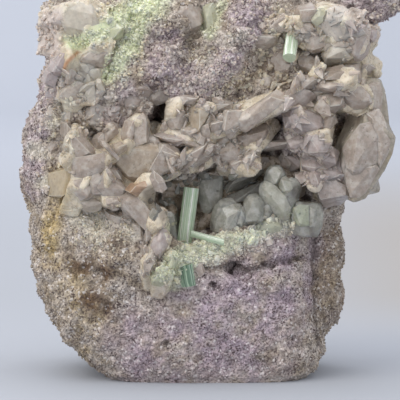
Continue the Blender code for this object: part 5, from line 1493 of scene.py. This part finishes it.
@dataclass(frozen=True)
class Prism:
    """A green prism with lines cut along it, standing where its solid is, with shifts in millimetres."""

    TRIANGLE = 0.05

    node: str
    foot_shift: tuple = (0.0, 0.0, 0.0)
    tip_shift: tuple = (0.0, 0.0, 0.0)
    look: str = "green_prism"
    sides: int = 21
    groove: float = 0.055
    rings: int = 5

    def build(self, limits: Limits) -> bpy.types.Mesh:
        """Builds the prism on the long axis of its solid.

        Args:
            limits: the box to stay in.

        Returns:
            The mesh.
        """
        places = vertices_of(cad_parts[self.node].data)
        middle = places.mean(axis=0)
        _, _, axes = np.linalg.svd(np.unique(places.round(6), axis=0) - middle, full_matrices=False)
        if axes[0] @ (0.5, 0, 1) <= 0:
            axes[0] = -axes[0]
        spans = (places - middle) @ axes.T
        low, high = spans.min(axis=0), spans.max(axis=0)
        size = (high - low) / (1, 2, 2)
        foot = middle + axes[0] * low[0] + (high + low)[1:] / 2 @ axes[1:]
        bm = self.blank()
        shape = np.array([v.co[:] for v in bm.verts])
        points = shape @ (axes * size[:, None])[[1, 2, 0]] + foot
        along = shape[:, 2:]
        points += (np.array(self.foot_shift) * (1 - along) + np.array(self.tip_shift) * along) * MM
        mesh = bpy.data.meshes.new(self.node)
        bm.to_mesh(mesh)
        bm.free()
        place_vertices(mesh, limits.keep(points))
        paint(mesh, {}, np.tile(self.stripes(), self.rings + 1)[:len(mesh.vertices)])
        return mesh

    def blank(self) -> bmesh.types.BMesh:
        """Makes a grooved prism of radius 1 and length 1 along Z, a little three-sided, in even rings."""
        bm = bmesh.new()
        bmesh.ops.create_circle(bm, cap_ends=True, segments=self.sides * 2, radius=1.0)
        for number, corner in enumerate(bm.verts):
            bulge = self.TRIANGLE * math.cos(3 * math.atan2(corner.co.y, corner.co.x))
            corner.co *= 1 - self.groove * (number % 2) - bulge
        cap = bm.faces[:]
        for number in range(self.rings):
            out = bmesh.ops.extrude_face_region(bm, geom=cap)
            fresh = [g for g in out["geom"] if isinstance(g, bmesh.types.BMVert)]
            bmesh.ops.translate(bm, verts=fresh, vec=(0, 0, 1 / self.rings))
            if number:
                bmesh.ops.delete(bm, geom=[f for f in cap if f.is_valid], context="FACES_ONLY")
            cap = [g for g in out["geom"] if isinstance(g, bmesh.types.BMFace)]
        bmesh.ops.recalc_face_normals(bm, faces=bm.faces[:])
        return bm

    def stripes(self) -> np.ndarray:
        """Chooses how light each line is, with a few painted highlights and a few dark lines."""
        chosen = np.random.default_rng(len(self.node)).uniform(0.3, 0.6, self.sides * 2)
        chosen[::7] = 1.0
        chosen[3::11] = 0.0
        return chosen


@dataclass(frozen=True)
class GrainCoat:
    """Sugary grains that stand on the rock, more of them at the front, joined in one mesh."""

    name: str
    count: int
    sizes: tuple
    seed: int
    sunk: float = 0.12
    front: float = 1.6
    rear: float = 0.8
    lowest: float = 1.5 * MM

    def build(self, rock: bpy.types.Mesh, limits: Limits) -> bpy.types.Mesh:
        """Spreads the grains over the rock.

        Args:
            rock: the rock's mesh.
            limits: the box to stay in.

        Returns:
            The mesh of all the grains.
        """
        chance = np.random.default_rng(self.seed)
        spots, lifts = self.spread(rock, chance)
        points, faces = self.grain()
        size = chance.uniform(*self.sizes, self.count) * chance.uniform(0.6, 1.0, self.count)
        turns = np.linalg.qr(chance.normal(size=(self.count, 3, 3)))[0]
        turns *= np.sign(np.linalg.det(turns))[:, None, None]
        shaped = np.einsum("vi,nij->nvj", points, turns) * size[:, None, None]
        spots = spots + lifts * size[:, None] * self.sunk
        corners = limits.keep((shaped + spots[:, None, :]).reshape(-1, 3))
        starts = np.arange(self.count) * len(points)
        mesh = mesh_of(self.name, corners, (faces[None] + starts[:, None, None]).reshape(-1, 3))
        layers = {tint: np.repeat(values, len(points)) for tint, values in layers_at(spots).items()}
        paint(mesh, layers, np.repeat(chance.uniform(0, 1, self.count), len(points)))
        return mesh

    def spread(self, rock: bpy.types.Mesh, chance: np.random.Generator) -> tuple[np.ndarray, np.ndarray]:
        """Picks a place on the rock for each grain.

        Args:
            rock: the rock's mesh.
            chance: random numbers.

        Returns:
            The places and the rock's normals there, one row each.
        """
        places = vertices_of(rock)
        rock.calc_loop_triangles()
        corners = np.empty(len(rock.loop_triangles) * 3, dtype=np.int32)
        rock.loop_triangles.foreach_get("vertices", corners)
        corners = corners.reshape(-1, 3)
        a, b, c = (places[corners[:, i]] for i in range(3))
        area = np.linalg.norm(np.cross(b - a, c - a), axis=1) / 2
        middle = (a + b + c) / 3
        weight = area * np.where(middle[:, 1] < 0, self.front, self.rear) * (middle[:, 2] > self.lowest)
        picked = chance.choice(len(corners), self.count, p=weight / weight.sum())
        share = chance.dirichlet((1, 1, 1), self.count)
        spots = a[picked] * share[:, :1] + b[picked] * share[:, 1:2] + c[picked] * share[:, 2:]
        return spots, vertices_of(rock, "normal")[corners[picked, 0]]

    @staticmethod
    def grain() -> tuple[np.ndarray, np.ndarray]:
        """Makes one grain of size 1, a four-sided pyramid."""
        bm = bmesh.new()
        bmesh.ops.create_cone(bm, cap_ends=True, segments=4, radius1=0.55, radius2=0.0, depth=0.8)
        return arrays_of(bm)


@dataclass(frozen=True)
class Lamp:
    """A soft square light: its side, its power, its colour and the point that it faces."""

    name: str
    place: tuple
    side: float
    power: float
    colour: tuple
    aim: tuple = (0.0, 0.0, 0.05)

    def hang(self) -> None:
        """Puts it into the scene."""
        lamp = bpy.data.lights.new(self.name, "AREA")
        lamp.size = self.side
        lamp.energy = self.power
        lamp.color = self.colour[:3]
        holder = bpy.data.objects.new(self.name, lamp)
        holder.location = self.place
        holder.rotation_euler = (Vector(self.aim) - Vector(self.place)).to_track_quat("-Z", "Y").to_euler()
        bpy.context.collection.objects.link(holder)


LAMPS = (
    Lamp("key", (-0.75, -0.65, 0.85), 0.9, 7.0, srgb(255, 250, 242)),
    Lamp("fill", (0.35, -1.1, 0.5), 0.9, 0.8, srgb(236, 242, 255)),
    Lamp("top", (-0.1, 0.1, 1.2), 1.0, 4.0, srgb(248, 250, 255)),
    Lamp("wall", (-0.4, 1.0, 1.1), 0.8, 8.0, srgb(240, 242, 250), (0.0, 1.7, 0.0)),
)


@dataclass(frozen=True)
class Studio:
    """Pale floor that runs up into a backdrop, soft light and the camera."""

    floor: tuple = srgb(174, 178, 186)
    cloudy: tuple = srgb(172, 176, 184)
    # colours of the painted shadow on the floor behind the specimen, the second one for its right side
    near: tuple = srgb(152, 154, 158)
    warm_painted_shadow: tuple = srgb(160, 148, 132)
    sky: tuple = srgb(228, 229, 232)
    sky_strength: float = 1.22
    reach: float = 1.6
    bend: float = 0.35
    steps: int = 12
    far: float = 20.0

    def build(self) -> None:
        """Makes the floor, the lights and the camera."""
        self.make_floor()
        for lamp in LAMPS:
            lamp.hang()
        world = bpy.data.worlds.new("sky")
        world.use_nodes = True
        back = world.node_tree.nodes["Background"]
        back.inputs["Color"].default_value = self.sky
        back.inputs["Strength"].default_value = self.sky_strength
        bpy.context.scene.world = world
        bpy.context.scene.view_settings.view_transform = "Standard"
        lens = bpy.data.cameras.new("camera")
        lens.sensor_width = VIEW.film
        lens.lens = VIEW.film * VIEW.distance / VIEW.width
        lens.clip_end = self.far
        camera = bpy.data.objects.new("camera", lens)
        camera.location = VIEW.eye
        camera.rotation_euler = (math.pi / 2 - VIEW.elevation, 0, 0)
        bpy.context.collection.objects.link(camera)
        bpy.context.scene.camera = camera

    def make_floor(self) -> None:
        """Makes the floor with a curved rise behind the specimen."""
        path = [(-self.reach, 0.0)]
        for angle in np.linspace(0, math.pi / 2, self.steps + 1):
            path.append((self.reach - self.bend * (1 - math.sin(angle)), self.bend * (1 - math.cos(angle))))
        path.append((self.reach, self.reach))
        corners = [(x, y, z) for y, z in path for x in (-self.reach, self.reach)]
        faces = [(n, n + 1, n + 3, n + 2) for n in range(0, len(corners) - 2, 2)]
        mesh = bpy.data.meshes.new("floor")
        mesh.from_pydata(corners, [], faces)
        mesh.shade_smooth()
        mesh.materials.append(self.paper())
        floor = bpy.data.objects.new("floor", mesh)
        bpy.context.collection.objects.link(floor)
        floor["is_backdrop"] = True

    def paper(self) -> bpy.types.Material:
        """Makes the floor's paper, with painted shadow behind the specimen, warmer to its right."""
        look = Look("floor_paper")
        shade = look.clouds(0.4, 2)
        across = look.node("ShaderNodeSeparateXYZ", None, {"Vector": look.place}, "X")
        away = look.node("ShaderNodeSeparateXYZ", None, {"Vector": look.place}, "Y")
        # painted shadow on the floor behind the specimen, turning warmer to its right
        near = away.above(0.03, 0.2) * (1 - away.above(0.35, 0.9))
        paper = look.layered(self.floor, ((self.cloudy, shade), (self.near, near * 0.3),
                                          (self.warm_painted_shadow, near * across.above(0.0, 0.09) * 0.5)))
        look.surface({"Base Color": paper, "Roughness": 0.8 + 0.1 * shade, "Specular IOR Level": 0.2})
        return look.material


MASSES = (
    Mass("left_glassy_mass", 1.5 * MM, 0.45 * MM),
    Mass("upper_left_glassy_mass", 1.5 * MM, 0.45 * MM),
    Mass("right_clear_block", 0.0, 0.2 * MM, Gloss.CLEAR),
    Mass("upper_right_crystals", 1.2 * MM),
    Mass("right_milky_crystals", 1.2 * MM),
    Mass("middle_crystals", 0.9 * MM),
    Mass("green_edged_crystal", 0.0, 0.15 * MM, Gloss.POCKET),
    Mass("lilac_blunt_prisms"),
    Mass("twin_lobed_crystal", 0.0, 0.3 * MM, Gloss.POCKET),
    Mass("dome_crystals", 0.0, 0.3 * MM, Gloss.POCKET),
    Mass("hollow_crust", gloss=Gloss.DULL),
)
COATS = (
    GrainCoat("sugary_grains", 31000, (0.45 * MM, 1.0 * MM), 5),
    GrainCoat("fine_grains", 25000, (0.35 * MM, 0.75 * MM), 6),
)
PRISMS = (
    Prism("main_tourmaline", (0, -0.5, 0), (0, -0.5, 0)),
    Prism("crossing_tourmaline", (0.3, -2.2, 0.5), (3.6, -6.9, -1.0), "green_prism_across"),
    Prism("lower_tourmaline_stub", (0, 1.2, 0), (0, 1.2, 0), "dark_green_prism"),
    Prism("upper_tourmaline"),
)


@dataclass(frozen=True)
class Specimen:
    """The whole specimen, built piece by piece in the frame of its solids."""

    rock: Rock = Rock()
    masses: tuple = MASSES
    clusters: tuple = CLUSTERS
    coats: tuple = COATS
    prisms: tuple = PRISMS

    def build(self, limits: Limits) -> None:
        """Builds and dresses all the pieces.

        Args:
            limits: the box to stay in.
        """
        stone = RockFinish().make("sugary_rock")
        looks = {gloss: finish.make(gloss.value) for gloss, finish in CRYSTALS.items()}
        greens = {name: finish.make(name) for name, finish in GREENS.items()}
        rock_mesh = self.rock.build(limits)
        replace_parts(show(rock_mesh, "rock", stone), "matrix_rock")
        meshes = [rock_mesh]
        for mass in self.masses:
            node = mass.node
            mesh = mass.build(limits)
            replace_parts(show(mesh, node + "_dressed", looks[mass.gloss]), node)
            meshes.append(mesh)
        ground = Ground(meshes)
        templates = Templates()
        for cluster in self.clusters:
            show(cluster.build(ground, templates, limits), cluster.name, looks[cluster.gloss])
        for coat in self.coats:
            show(coat.build(rock_mesh, limits), coat.name, stone)
        for prism in self.prisms:
            node = prism.node
            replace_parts(show(prism.build(limits), node + "_dressed", greens[prism.look]), node)


def main() -> None:
    """Builds the specimen and its studio."""
    logging.basicConfig(level=logging.INFO, format="%(message)s")
    noise.seed_set(NOISE_START)
    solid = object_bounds()
    Specimen().build(Limits(Vector(solid[0]), Vector(solid[1])))
    Studio().build()


if __name__ == "__main__":
    main()
